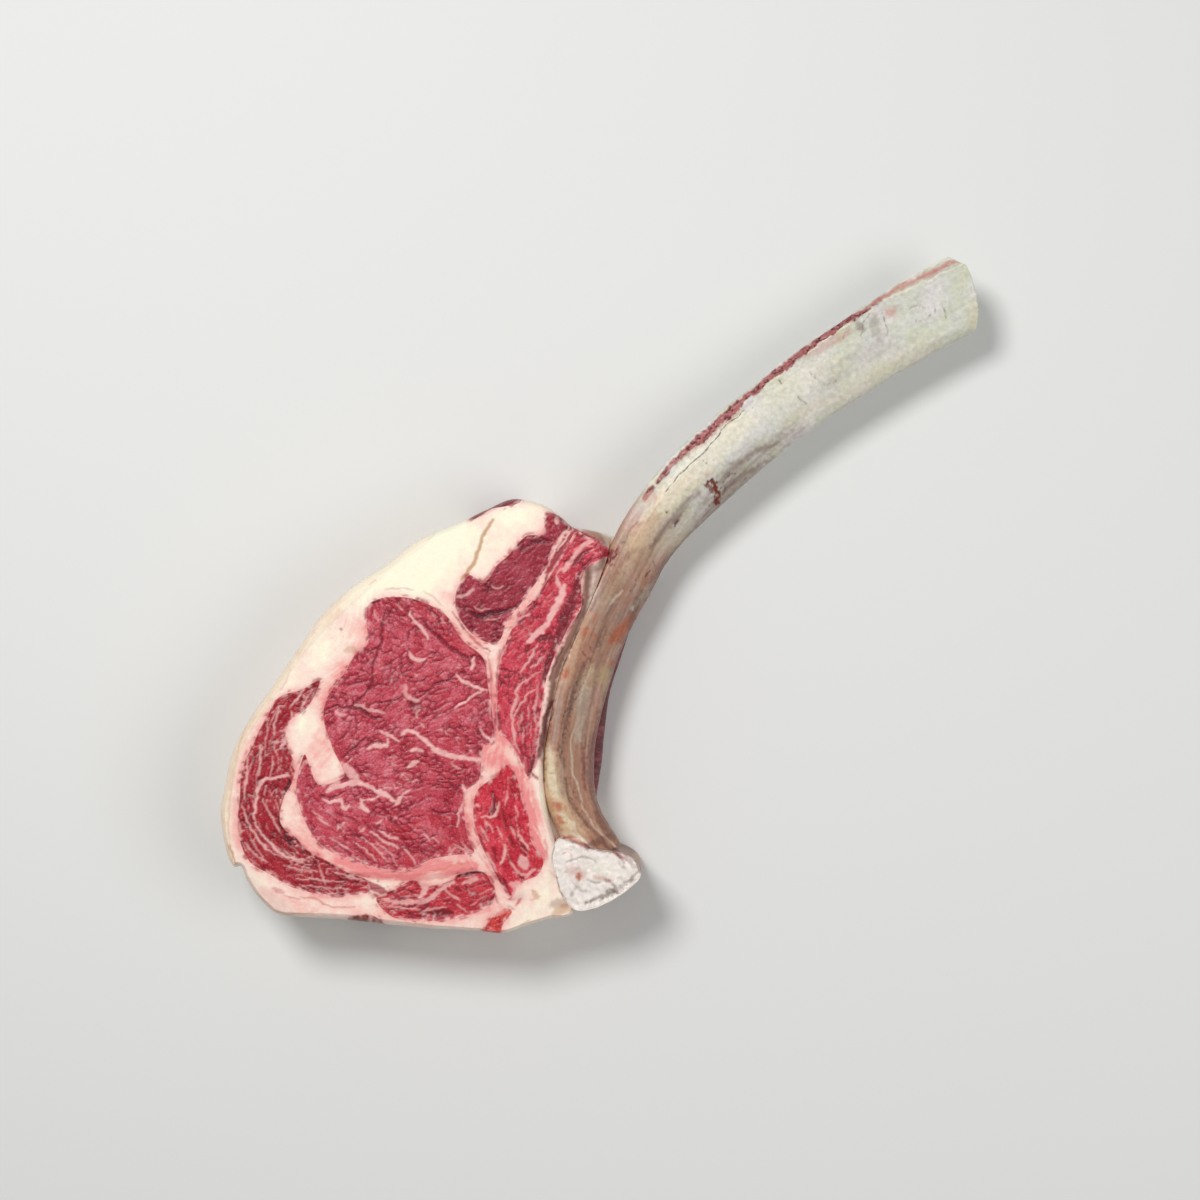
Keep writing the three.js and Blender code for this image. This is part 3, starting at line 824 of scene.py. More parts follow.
# Painted shade: a dark line in the crevice where the fat meets the rib.
FAT_CREVICE_SHADE = """
5 .9 552,700 546,718 542,738 539,758
2.4 .9 583,592 582,606 575,622
2.4 .8 563,648 555,664 549,680
3 .8 590,541 600,546 610,550
"""
FAT_LINES = """
1.6 1 571,523 561,538 552,555 548,566
1.4 1 575,527 567,537 558,551
1.8 .9 592,541 582,547 573,560
2.4 .9 350,876 368,880 386,888
2 .8 362,889 374,893 386,898
"""
FAT_TAN = """
9 1 588,566 586,590 584,606 577,622 567,645 559,662 553,682 550,702 547,720
12 .8 604,556 600,580 594,605
6 1 549,700 546,722 545,745 545,768 549,795 555,818
16 .8 587,531 601,536 616,540
10 .5 552,905 570,903
"""
FAT_GREY = """
10 .4 549,814 555,835 556,862 553,880
10 .5 590,531 602,536 612,541
10 .9 592,566 589,580 586,592
8 .5 515,900 524,894
18 .3 240,872 260,895 290,914
"""
FAT_RED = """
1.6 .7 300,898 318,900 326,906 355,907
1.4 .6 283,896 292,899 300,900
5 .5 272,889 283,893
2 .5 250,868 262,872
7 .45 350,874 400,878 440,876 470,870
5 .5 350,884 372,888
3 .8 516,905 521,899
1.6 .4 497,650 500,700 501,738
1.4 .35 491,655 494,700 497,736
1.4 .4 452,622 470,638 490,656
1.2 .5 476,852 488,868 500,884
3 .5 545,840 548,860
2.4 .6 592,545 602,550 614,548
1.4 .5 386,590 400,588 414,590
"""
FAT_BROWN = """
4.4 .75 493,519 484,534 478,551 474,563 468,571 461,581
1.2 .4 262,700 250,715 240,740 236,760 231,790 229,810 228,830 231,850
1.8 .8 229,845 232,855 236,865
1.4 .4 290,670 284,686 278,692
1.4 .4 376,580 368,586
3 1 341,629 341,631
1.4 .5 422,592 433,598 443,607
1.2 .6 430,871 442,870 453,864
1.2 .6 456,862 461,865 468,864
1.2 .5 380,874 400,871 415,872
1.4 .5 270,910 285,914 298,915 315,912
1.4 .5 549,871 557,880 560,893 568,905
10 .5 554,914 575,905
5 .5 532,892 538,899
2 .5 585,529 598,534 612,536
6 .4 345,651 356,650
2 .5 540,897 530,901
1.2 .4 240,880 262,900 280,912
1.2 .5 521,925 530,921
"""
in_lean = ease(-0.5, 2.5, lean_depth)
crowded = blur(in_lean, 5)  # near 1 in a thin seam, 0 in the middle of broad fat
blush = 0.30 + 1.05 * crowded + 0.12 * map_noise(14, 90, 3) + 0.05 * map_noise(3, 89, 2)
pink_fat = blur(painted_map(FAT_PINK, wander=3, swell=8, seed=91, soft=0.3), 2)
blush += pink_fat * (0.75 + 0.35 * map_noise(7, 88, 3) - 0.2 * np.clip(long_fibre, -1, 1.5))
blush -= blur(painted_map(FAT_CREAM, wander=2, seed=92, soft=0.3), 1)
fat_raw = painted_map(FAT_RAW, seed=96, ragged=0.5)
fat_raw = np.maximum(fat_raw, 0.7 * frayed * ease(0.15, 0.5, 0.15 * fibre - breaks))
fat_raw = np.clip(fat_raw - painted_map(FAT_LINES, seed=97), 0, 1)
# painted shade in the folds of the lean patches on the fat
raw_fold_shade = 0.7 * fat_raw * np.maximum(shaded_folds, ease(0.5, 1.8, -long_fibre))
red_threads = 0.5 * ease(1.5, 2.6, long_fibre) * ease(0.25, 0.5, crowded)
fat_maps = {
    "blush": blush,
    "raw": fat_raw,
    "dark": np.maximum(painted_map(FAT_CREVICE_SHADE, seed=98, ragged=0.5), raw_fold_shade),
    "red": np.maximum(painted_map(FAT_RED, seed=93), red_threads),
    "brown": painted_map(FAT_BROWN, seed=94),
    "tan": painted_map(FAT_TAN, seed=99, soft=0.2),
    "grey": blur(painted_map(FAT_GREY, wander=2, seed=95, soft=0.3), 1),
}


# Where the cut face's edge rolls down to the rib: its upper line, and then a way round behind the rib.
RIB_SHORE = [
    (600, 560), (584, 570), (584, 600), (577, 620), (567, 643), (557, 662), (551, 682), (547, 702),
    (543, 725), (541, 745), (541, 768), (544, 790), (550, 815), (558, 836), (640, 836), (660, 560),
]
HEAD_SHORE = [
    (560, 834), (547, 860), (545, 880), (549, 905), (560, 925), (660, 925), (660, 834),
]
rib_shore = ease(0, 11, depth_in(spline(RIB_SHORE, 5)))
head_shore = ease(0, 9, depth_in(spline(HEAD_SHORE, 5)))


def face_height(points_mm):
    """Height of the upper cut face without its markings: two slow swells."""
    x, y = points_mm[:, 0], points_mm[:, 1]
    return THICKNESS - FACE_WAVE + FACE_WAVE * np.sin(x / 21 + 0.6) * np.cos(y / 26 - 0.4)


relief = -LEAN_DROP * in_lean
relief += in_lean * (0.05 * fibre + 0.12 * ease(0, 0.5, wall) - 0.5 * crease_shade + 0.12 * lobule)
relief += 0.06 * map_noise(2.0, 11, 3)
relief += (1 - in_lean) * (0.12 * map_noise(9, 12, 3) + 0.05 * long_fibre * crowded
                           - 0.3 * fat_maps["brown"] - 0.35 * fat_maps["raw"] - 0.3 * fat_maps["dark"])
relief = np.minimum(relief, 0.1) - 4.2 * rib_shore - 1.3 * head_shore * (1 - rib_shore)


def top_height(points_mm):
    """Height of the upper cut face, never above the thickness."""
    height = face_height(points_mm) + sample(relief, squares(points_mm)) - 0.1
    return np.minimum(height, THICKNESS - CLEAR)


def under_height(points_mm):
    """Height of the lower cut face, with the same relief but weaker."""
    return np.clip(-0.8 * sample(relief, squares(points_mm)), CLEAR, 1.0)


# ---- meshes ----------------------------------------------------------------------------


def new_object(name, mesh):
    made = bpy.data.objects.new(name, mesh)
    bpy.context.scene.collection.objects.link(made)
    return made


def finished(name, build):
    """An object from a bmesh, with its faces pointing outwards."""
    bmesh.ops.recalc_face_normals(build, faces=build.faces)
    mesh = bpy.data.meshes.new(name)
    build.to_mesh(mesh)
    build.free()
    return new_object(name, mesh)


def part_place(points_mm):
    """Millimetres of the drawing to metres of the part."""
    p = np.array(points_mm, float)
    p[:, :2] += ZERO
    return p * MM


def drawing_place(obj):
    """Where an object's vertices are, in millimetres of the drawing."""
    co = np.empty(len(obj.data.vertices) * 3)
    obj.data.vertices.foreach_get("co", co)
    co = co.reshape(-1, 3) / MM
    co[:, :2] -= ZERO
    return co


def tube(name, rings):
    """A closed skin through rings of points (levels, around, 3), its ends filled."""
    levels, around = rings.shape[:2]
    build = bmesh.new()
    bmesh.ops.create_grid(build, x_segments=around, y_segments=levels - 1, size=1)
    places = part_place(np.concatenate([rings, rings[:, :1]], axis=1).reshape(-1, 3))
    for vertex, place in zip(build.verts, places):
        vertex.co = place
    bmesh.ops.remove_doubles(build, verts=build.verts, dist=1e-7)
    bmesh.ops.holes_fill(build, edges=[e for e in build.edges if e.is_boundary], sides=0)
    return finished(name, build)


def net_block(name, low, high, step, face, far):
    """A block with a fine net for one face, at the heights that `face` gives; the other is level."""
    across, along = (max(2, round((high[k] - low[k]) / step)) for k in (0, 1))
    build = bmesh.new()
    bmesh.ops.create_grid(build, x_segments=across, y_segments=along, size=1)
    xy = np.array([vertex.co[:2] for vertex in build.verts])
    xy = np.asarray(low) + (xy + 1) / 2 * (np.asarray(high) - np.asarray(low))
    places = part_place(np.column_stack([xy, face(xy)]))
    for vertex, place in zip(build.verts, places):
        vertex.co = place
    rim = [e for e in build.edges if e.is_boundary]
    grown = bmesh.ops.extrude_edge_only(build, edges=rim)["geom"]
    for item in grown:
        if isinstance(item, bmesh.types.BMVert):
            item.co.z = far * MM
    outer = [g for g in grown if isinstance(g, bmesh.types.BMEdge)]
    bmesh.ops.contextual_create(build, geom=[e for e in outer if e.is_boundary])
    return finished(name, build)


def sideways(loop):
    """Unit vectors square to a closed loop: to the right of its course."""
    before, after = np.roll(loop, 1, 0), np.roll(loop, -1, 0)
    right = np.column_stack([after[:, 1] - before[:, 1], before[:, 0] - after[:, 0]])
    return right / np.linalg.norm(right, axis=1)[:, None]


def prism(name, points):
    """An upright prism on an outline, a little uneven as a seam is."""
    loop = spline(points, 9)
    loop = loop + sideways(loop) * (SEAM_WANDER * noise(loop, 3.0, 5, 2))[:, None]
    rings = [np.column_stack([loop, np.full(len(loop), z)]) for z in (PRISM_FOOT, PRISM_TOP)]
    return tube(name, np.array(rings))


def combined(obj, tool, operation, keep_tool=False):
    """Cuts or joins with a solid tool, for good."""
    modifier = obj.modifiers.new("cut", "BOOLEAN")
    modifier.operation, modifier.solver, modifier.object = operation, "MANIFOLD", tool
    mesh = bpy.data.meshes.new_from_object(obj.evaluated_get(bpy.context.evaluated_depsgraph_get()))
    obj.modifiers.clear()
    old, obj.data = obj.data, mesh
    bpy.data.meshes.remove(old)
    if not keep_tool:
        bpy.data.objects.remove(tool)
    return obj


def copy_of(obj, name):
    return new_object(name, obj.data.copy())


def drop_crumbs(obj):
    """Keeps an object's largest connected part."""
    build = bmesh.new()
    build.from_mesh(obj.data)
    build.verts.ensure_lookup_table()
    seen, parts = set(), []
    for start in build.verts:
        if start.index in seen:
            continue
        part, queue = [], [start]
        seen.add(start.index)
        while queue:
            vertex = queue.pop()
            part.append(vertex)
            for edge_shade in vertex.link_edges:
                other = edge_shade.other_vert(vertex)
                if other.index not in seen:
                    seen.add(other.index)
                    queue.append(other)
        parts.append(part)
    largest = max(parts, key=len)
    for part in parts:
        if part is not largest:
            bmesh.ops.delete(build, geom=part, context="VERTS")
    build.to_mesh(obj.data)
    build.free()
    return obj


# ---- the rib bone ------------------------------------------------------------------------

RINGS_PER_SPAN = 48
BONE_AROUND = 138
UPWARD = math.radians(65)



def along_rib(numbers):
    """Numbers given at the rib's stations, for every ring between them."""
    return spline(numbers, RINGS_PER_SPAN, closed=False)


rib_line = along_rib([station[:3] for station in RIB])
rib_sizes = along_rib([(*station[3:], i) for i, station in enumerate(RIB)])  # half width, turn, station
rib_lift = along_rib([(lift, i) for i, lift in enumerate(RIB_LIFT)])[:, :1]


def rib_axes():
    """Unit vectors across and through the rib at each ring."""
    heading = np.gradient(rib_line, axis=0)[:, :2]
    heading /= np.linalg.norm(heading, axis=1)[:, None]
    turn = np.radians(rib_sizes[:, 1])[:, None]
    back = np.column_stack([heading[:, 1], -heading[:, 0], np.zeros(len(heading))])
    up = np.array([0, 0, 1.0])
    return back * np.cos(turn) + up * np.sin(turn), -back * np.sin(turn) + up * np.cos(turn)


rib_across, rib_through = rib_axes()


def rib_rings(grow=0.0):
    """The rib's skin as rings of points, made larger by `grow`."""
    angle = np.linspace(0, 2 * math.pi, BONE_AROUND, endpoint=False)
    angle = angle - 0.42 * np.sin(angle - UPWARD)  # more points on the side that faces up
    power = 2 / SHAFT_SQUARENESS
    unit_across = np.sign(np.cos(angle)) * np.abs(np.cos(angle)) ** power
    unit_through = np.sign(np.sin(angle)) * np.abs(np.sin(angle)) ** power
    across = (rib_sizes[:, :1] * RIB_SHARE + grow) * unit_across
    through = (SHAFT_HALF_THICKNESS * RIB_SHARE + grow) * unit_through
    lean_a, lean_t = math.cos(STRIP_TILT), math.sin(STRIP_TILT)
    reach = across * lean_a + through * lean_t
    limit = reach.max(axis=1, keepdims=True) * STRIP_REACH
    sawn = 1 - ease(STRIP_ENDS_AT - 0.8, STRIP_ENDS_AT + 0.6, rib_sizes[:, 2:])
    cut = np.maximum(0, reach - limit) * sawn
    across, through = across - cut * lean_a, through - cut * lean_t
    rings = rib_line[:, None] + across[..., None] * rib_across[:, None]
    rings = rings + through[..., None] * rib_through[:, None]
    rings[..., 2] += rib_lift * ease(-0.3, 1.0, unit_across)
    return rings


def end_cutter():
    """Beyond the saw's slanting cut across the rib's free end."""
    def face(xy):
        return END_BULGE - END_CURVE * (xy[:, 1] + 5) ** 2 + 0.12 * noise(xy, 1.5, 21, 2)

    block = net_block("end_cutter", (-40, -40), (40, 40), 0.9, face, 60)
    block.data.transform(Matrix.Translation(Vector((-ZERO[0] * MM, -ZERO[1] * MM, 0))))
    block.data.transform(Matrix.Rotation(math.pi / 2, 4, "Y"))
    block.data.transform(Matrix.Rotation(END_TILT, 4, "Y"))
    block.data.transform(Matrix.Rotation(END_BEARING, 4, "Z"))
    block.data.transform(Matrix.Translation(Vector(part_place([END_MIDDLE])[0])))
    return block


def head_tube(grow=0.0):
    """The broad block at the rib's lower end, made larger by `grow`."""
    loop = spline(HEAD, 12)
    centre = loop.mean(axis=0)
    size = np.linalg.norm(loop - centre, axis=1, keepdims=True)
    rings = []
    for z, scale in spline(HEAD_LEVELS, 12, closed=False):
        ring = centre + (loop - centre) * (scale + grow / size)
        rings.append(np.column_stack([ring, np.full(len(ring), z)]))
    return tube("head", np.array(rings))


def head_top(xy):
    """Height of the head's sawn face."""
    return HEAD_TOP - 0.25 + 0.2 * noise(xy, 5, 31, 3)


BONE_MARKS = {
    "sand": """
18 1 692,474 668,498 652,520 642,536 634,548
12 .4 588,618 574,650 566,680
14 .5 646,532 634,552
18 .7 566,824 580,836
9 .6 640,548 622,578 604,604
20 .8 543,745 550,768 555,791 566,815 580,832
9 .5 556,640 552,690
10 .4 593,668 584,700
""",
    # painted shade: darker along the rib's right flank and lower side, which turn away from the light
    "edge_shade": """
12 .75 702,538 688,549 674,562 662,576 650,590 641,603
12 .6 776,460 752,474 730,492 712,512 700,528
14 .4 722,476 742,462
7 .8 588,847 600,841 614,834
9 .85 640,600 632,628 620,660 611,690 604,715 598,742 594,765
12 .8 604,712 598,738 593,760 593,785
9 .8 592,782 598,803 609,822 620,836 634,852
3 .7 600,838 612,850 624,861
""",
    "brown": """
5 .7 590,585 580,612 570,640 560,665 552,690 547,712 543,735 541,758 543,780
7 .7 652,548 664,530 675,521 686,504 700,492
6 .5 780,443 750,455 733,469 715,490 700,505
3 .8 602,573 596,584 591,590
4 .7 610,571 605,585 599,597 592,610
2 .7 617,607 610,613 603,622
2.4 .8 577,623 572,635 566,650 561,664 556,677 552,690
4 .9 580,630 573,638 570,647
7 .7 584,664 579,680 574,692 569,706 567,722 564,738 562,752 566,766
5 .4 603,655 597,680 592,704 586,730 583,750
5 .5 618,600 606,625 596,650
18 .3 620,574 606,600
10 .3 588,690 580,715
4 .8 566,778 569,794 579,813 593,829 606,840
7 .7 596,812 606,828 620,842 632,852
4 .8 600,838 612,847 625,858
9 .6 857,322 864,330
2 .7 627,537 632,528 638,521
2 .7 621,543 625,541
4 .7 625,852 634,861
5 .6 627,871 633,876
5 .5 660,575 668,560 700,528
5 .6 752,470 735,482 715,502
6 .5 552,700 548,720
""",
    "cream": """
7 1 668,498 683,476 692,466 704,455 715,443 728,428 744,411
26 .9 664,508 682,484 704,462 728,438 750,420
30 .5 752,416 790,388 830,362
1.9 .55 592,668 585,688 580,710 576,725 573,740 572,755 574,770 579,788 584,806 593,823 608,839 620,849
12 .35 588,690 583,715 580,740
9 .45 549,750 551,775 557,800 565,822
3 .6 622,592 612,605
5 .6 650,587 642,600 633,610
10 .5 569,823 575,828
2 .9 650,483 700,436 744,396 800,347 850,312 900,281 950,257
1.8 .9 762,388 800,357 850,322 872,308
2 .8 880,300 912,287 962,264
8 .5 640,520 655,505
20 .35 590,870 612,870
""",
    "yellow": """
8 .7 661,516 669,509 686,492 700,486
5 .6 593,667 593,676
12 .6 605,672 604,682
22 .35 935,345 880,372 840,398 790,420
10 .4 976,300 974,330
16 .55 547,765 555,800 566,824
12 .4 618,660 604,700 598,740
8 .4 600,560 590,575
""",
    # grey patches, and painted shade: the three broad strokes down the rib's lower side, which turns away
    # from the light
    "grey": """
22 .6 800,428 764,452 734,480 708,510 688,540
16 .7 694,534 674,566 654,600
14 .6 638,597 628,612 618,622
12 .5 874,315 876,330 882,340
30 .4 820,382 840,370
20 .3 890,345 850,360
6 .6 562,768 565,794
7 .6 560,700 556,725 552,745
6 .6 580,613 570,628 565,638 560,652 555,665 551,685
8 .5 585,575 590,565
5 .5 608,893 617,892
3 .6 572,896 576,889
2 .6 563,875 565,872
10 .4 614,530 622,540
""",
    "pink": """
5 .7 681,458 699,446 711,435 727,420 739,410
9 .5 804,356 822,346 843,334 849,329
10 .6 888,310 894,314
5 1 871,303 890,292 907,283 927,274 945,265 962,258
10 .4 640,515 630,530
9 .5 700,478 712,470
12 .4 600,690 594,720
2 .8 562,855 570,853 572,857
3.5 .8 594,877 603,879 611,882
3 .9 602,705 603,702
3 .9 596,741 594,745
12 .4 568,868 584,874
10 .45 592,645 582,668
5 .7 612,850 626,860
8 .5 645,500 655,495
""",
    "orange": """
12 1 636,616 628,625 619,637 613,640
8 .9 614,662 617,668
9 .8 588,628 584,636
6 .7 597,617 594,622
6 .7 591,633 598,638
7 1 570,671 562,678
10 1 553,802 563,809
7 1 558,817 562,821
5 1 563,836 570,838 580,843 592,848
8 1 577,877 582,876
3 .5 627,604 636,598
""",
    "marrow": """
7 .9 645,498 652,487
6 .9 658,482 672,464 690,448
8 1 684,452 700,438 716,424
8.5 1 710,430 726,414 742,400
7 1 736,405 760,385 784,366 808,347 836,327 870,307
5 .5 866,308 882,298
""",
    "rust": """
5 1 706,486 714,480 716,488 720,496 716,502 720,503
6 .8 707,487 714,485
7 .8 710,486 717,492 719,499
4 .9 598,558 607,560 617,554
3 .7 600,548 606,552
2 .6 646,578 651,571
""",
    "pits": """
9 1 590,660 583,680 575,696 569,712 566,728 563,744 562,760
6 .7 610,634 603,640 598,650
5 .6 570,775 580,800 592,818
8 .5 700,540 690,560 676,582
""",
    # meat left on the bone, and painted shade: the strokes down the rib's right flank darken the side that
    # turns from the light
    "flesh_and_shade": """
9 1 602,558 609,555 616,550
3 .9 600,545 608,550 617,552
2.4 .8 604,560 610,564 616,566
7 .9 551,700 545,720 541,742 539,765
8 .65 601,712 597,735 593,752 592,772 596,794
4 .6 599,800 608,818 620,832
3 .7 562,838 575,842 592,850 612,853 628,861
4 .6 618,846 630,862 640,872
3 .7 588,735 584,760 586,790
""",
    "crag": """
5 .7 584,905 600,899 616,891 630,881 640,870
3 .6 636,860 640,868 641,874
5 .7 613,883 618,889 624,885
3 .5 603,880 612,884
3 .5 588,880 600,884
2 .5 566,862 580,858 596,862
2 .4 572,880 580,890 590,892
3 .4 617,861 625,869
""",
    "crack": """
1.1 .9 666,491 674,481 681,473 688,465 700,455 711,444 720,431 727,423 738,415 744,410
1.9 .9 675,528 680,522
1.6 .9 666,514 666,512
1.1 .8 720,490 725,481 730,476 736,474
1.1 .7 722,496 727,488
1.1 .7 709,506 709,504
1.1 .7 704,460 705,459
1.1 .7 714,461 715,461
1.1 .7 708,463 709,462
1.1 .7 751,407 752,408
1.1 .6 654,560 657,567
1.2 .8 646,578 651,571
1.1 .6 881,312 885,323 888,334
1.1 .6 869,314 863,326 861,336
1.1 .7 778,377 782,384
1.1 .6 934,315 937,308 943,306 946,314 947,320
1.1 .5 912,321 921,320 930,316
1.1 .4 905,310 915,306 925,308
1.1 .7 584,650 588,657
1.1 .6 592,647 596,653
1.1 .8 577,683 580,680
1.1 .8 573,694 577,692
1.1 .8 568,699 570,697
1.1 .7 567,712 569,711
1.1 .7 564,723 566,724
1.1 .7 564,734 567,733
1.5 .8 551,712 545,730 541,748 538,762
1.1 .6 549,871 557,878 558,887 563,898 570,906
1.1 .7 636,585 632,592
1.1 .7 640,575 636,582
1.1 .8 572,797 575,801
1.1 .5 810,372 818,380
1.1 .5 826,384 836,380
1.1 .5 798,396 806,404
1.1 .5 846,330 842,338
""",
}


def seen_from_above(points_mm):
    """Squares of the drawing in which a point shows from the camera, which looks straight down."""
    nearness = (CAMERA_HEIGHT - points_mm[:, 2:3]) / (CAMERA_HEIGHT - THICKNESS)
    return squares(points_mm[:, :2] / nearness)


def rib_place(points_mm):
    """Nearest ring of the rib, and the place in its section: across and through, in millimetres."""
    tree = KDTree(len(rib_line))
    for index, point in enumerate(rib_line):
        tree.insert(point, index)
    tree.balance()
    ring = np.array([tree.find(point)[1] for point in points_mm])
    arm = points_mm - rib_line[ring]
    return ring, (arm * rib_across[ring]).sum(axis=1), (arm * rib_through[ring]).sum(axis=1)


BONE_SOFTNESS = {  # how softly the strokes of a mark end, stains and painted shade alike; the others are crisp
    "edge_shade": 0.3, "sand": 0.4, "pits": 0.15, "flesh_and_shade": 0.25, "crag": 0.2, "brown": 0.3, "yellow": 0.5,
    "grey": 0.4, "pink": 0.35, "orange": 0.3, "cream": 0.2,
}
RAGGED = ("rust", "crack", "flesh_and_shade", "crag")


def bone_masks(bone):
    """Paints the bone's stains, cracks and zones, and the shade on its right flank and lower side; gives
    them by name, one number for each vertex.
    """
    co = drawing_place(bone)
    normal = np.empty(len(co) * 3)
    bone.data.vertices.foreach_get("normal", normal)
    normal = normal.reshape(-1, 3)
    up = ease(-0.5, 0.1, normal[:, 2])
    uv = seen_from_above(co)
    ring, across, through = rib_place(co)
    run = np.concatenate([[0], np.cumsum(np.linalg.norm(np.diff(rib_line, axis=0), axis=1))])[ring]
    grain = noise(np.column_stack([run / 16, across / 1.5, through / 1.5]), 1.0, 133, 3)
    masks = {}
    for seed, (name, text) in enumerate(BONE_MARKS.items()):
        soft = BONE_SOFTNESS.get(name, 0.1)
        ragged = 1.2 if name in RAGGED else 0.25 + soft
        strokes = painted(text, uv, wander=2.0, swell=4, seed=101 + seed, soft=soft, ragged=ragged)
        masks[name] = up * strokes
        if name in BONE_SOFTNESS:
            masks[name] *= 0.8 + 0.4 * grain.clip(-0.5, 0.5)
    warm = ease(230, 20, uv[:, 0] - uv[:, 1])
    head_end = ease(HEAD_BEGINS, HEAD_IS_FULL, co[:, 1])
    head = head_end * ease(HEAD_TOP - 1.6, HEAD_TOP - 0.6, co[:, 2])
    cloud = noise(co, 14, 131, 3)
    masks["tan"] = (warm * (0.95 + 0.3 * cloud) * (1 - head) * (1 + 0.4 * grain)).clip(0, 1)
    masks["brown"] = np.maximum(masks["brown"], 0.45 * warm * ease(0.25, 0.8, grain))
    masks["brown"] *= 1 - 0.9 * head
    masks["pores"] = masks["marrow"] * ease(-0.05, 0.45, noise(co, 1.1, 141, 2))
    masks["pits"] *= ease(0.12, 0.4, noise(co, 1.1, 146, 2))
    masks.update(head=head, head_end=head_end, grain=grain)
    return co, normal, masks


CARVING = {  # how deep each mark is cut, in millimetres; the cream ridges stand out
    "crack": 0.35, "pits": 0.4, "rust": 0.25, "brown": 0.3, "cream": -0.3, "marrow": 0.25, "pores": 0.6,
    "orange": 0.1, "crag": 0.6,
}


def carve_bone(bone):
    """Sinks cracks, pits and grooves into the bone and raises its ridges."""
    co, normal, masks = bone_masks(bone)
    depth_mm = sum(deep * masks[name] for name, deep in CARVING.items())
    depth_mm += 0.3 * (1 + noise(co, 12, 142, 3)) + 0.08 * (1 + noise(co, 2.2, 143, 2))
    depth_mm += 0.2 * (1 - masks["grain"]) * (0.3 + 0.7 * masks["tan"])
    depth_mm += (masks["head"] + 0.4 * masks["tan"]) * 0.3 * (1 + noise(co, 3.0, 144, 3))
    depth_mm += 0.8 * masks["head"] * ease(0.1, 0.5, noise(co, 5, 145, 3))
    depth_mm *= 1 - 0.75 * masks.pop("head_end") * ease(0.7, 0.3, normal[:, 2])  # no gap beside the fat
    co = co - normal * depth_mm[:, None]
    co[:, 2] = np.maximum(co[:, 2], CLEAR)
    bone.data.vertices.foreach_set("co", part_place(co).astype(np.float32).ravel())
    bone.data.update()
    for name, values in masks.items():
        write_attribute(bone, name, values)
    return bone


def head_base(xy):
    """Height of the head's lower end."""
    return 0.2 + 0.15 * noise(xy, 4, 33, 2)


def make_bone():
    """The rib and its head in one, sawn at the free end and at the head's top and base."""
    bone = tube("rib", rib_rings())
    combined(bone, end_cutter(), "DIFFERENCE")
    combined(bone, head_tube(), "UNION")
    combined(bone, net_block("head_sawn", (-45, -160), (45, -80), 0.5, head_top, BEYOND), "DIFFERENCE")
    combined(bone, net_block("head_base", (-60, -170), (60, -60), 1.0, head_base, -20), "DIFFERENCE")
    return carve_bone(bone)


# ---- the meat -----------------------------------------------------------------------------


def meat_block():
    """All the meat and fat in one, with its cut faces and the room for the bone."""
    rim = spline(RIM, 12)
    flat = rim[:, :2]
    inwards = -sideways(flat)
    rings = []
    for z, inset in spline(SIDE_PROFILE, 7, closed=False):
        moved = min(1, max(0, (LEAN_FROM - z) / (LEAN_FROM - LEAN_TO)))
        level = np.column_stack([flat, np.full(len(flat), z)])
        swell = 0.18 * (1 + noise(level, 16, 151, 2)) + 0.08 * (1 + noise(level, 4, 152, 2))
        ring = flat + inwards * (inset + swell)[:, None]
        ring[:, 0] += rim[:, 2] * moved
        rings.append(np.column_stack([ring, np.full(len(ring), z)]))
    block = tube("block", np.array(rings))
    low, high = (-180, -160), (32, 52)  # corners of a square that covers the meat
    combined(block, net_block("above", low, high, FACE_STEP, top_height, BEYOND), "DIFFERENCE")
    combined(block, net_block("below", low, high, UNDER_STEP, under_height, -30), "DIFFERENCE")
    combined(block, tube("rib_room", rib_rings(CARVED)), "DIFFERENCE")
    combined(block, head_tube(CARVED), "DIFFERENCE")
    return block


PIECES = {
    "eye": "eye_muscle", "cap": "cap_muscle", "lower_cap": "lower_cap_muscle", "chine": "chine_muscle",
    "upper": "upper_muscle", "rib_side": "rib_side_muscle", "trapezius": "trapezius_strip",
    "chine_trim": "chine_trim_muscle", "bottom_edge": "bottom_edge_muscle",
    "intercostal": "intercostal_strip",
}


def make_meat():
    """Cuts the muscles and the outer sheet out of the block; what is left is the fat between them."""
    block = meat_block()
    made = {}
    for name, points in MUSCLES.items():
        cutter = prism(name + "_cut", points)
        piece = combined(copy_of(block, name + "_lean"), cutter, "INTERSECT", keep_tool=True)
        combined(block, cutter, "DIFFERENCE")
        made[name] = drop_crumbs(piece)
    cutter = prism("sheet_cut", OUTER_SHEET)
    sheet = combined(copy_of(block, "outer_fat"), cutter, "INTERSECT", keep_tool=True)
    combined(block, cutter, "DIFFERENCE")
    block.name = "fat_between"
    made["outer_fat"], made["fat_between"] = drop_crumbs(sheet), drop_crumbs(block)
    return made


# ---- materials -------------------------------------------------------------------------------


def linear(hex_colour):
    """A colour as a screen shows it, in the renderer's own measure."""
    channels = [int(hex_colour[i:i + 2], 16) / 255 for i in (1, 3, 5)]
    return tuple(c / 12.92 if c <= 0.04045 else ((c + 0.055) / 1.055) ** 2.4 for c in channels) + (1.0,)


def add(tree, kind, links=None, stops=None, **settings):
    """Adds a node; `links` sets its inputs to numbers, colours or other nodes' outputs."""
    made = tree.nodes.new(kind)
    for name, value in settings.items():
        setattr(made, name, value)
    for key, value in (links or {}).items():
        socket = made.inputs[key]
        if isinstance(value, bpy.types.NodeSocket):
            tree.links.new(value, socket)
        else:
            socket.default_value = value
    if stops:
        elements = made.color_ramp.elements
        while len(elements) < len(stops):
            elements.new(0.5)
        for element, (position, colour) in zip(elements, stops):
            element.position, element.color = position, colour
    return made


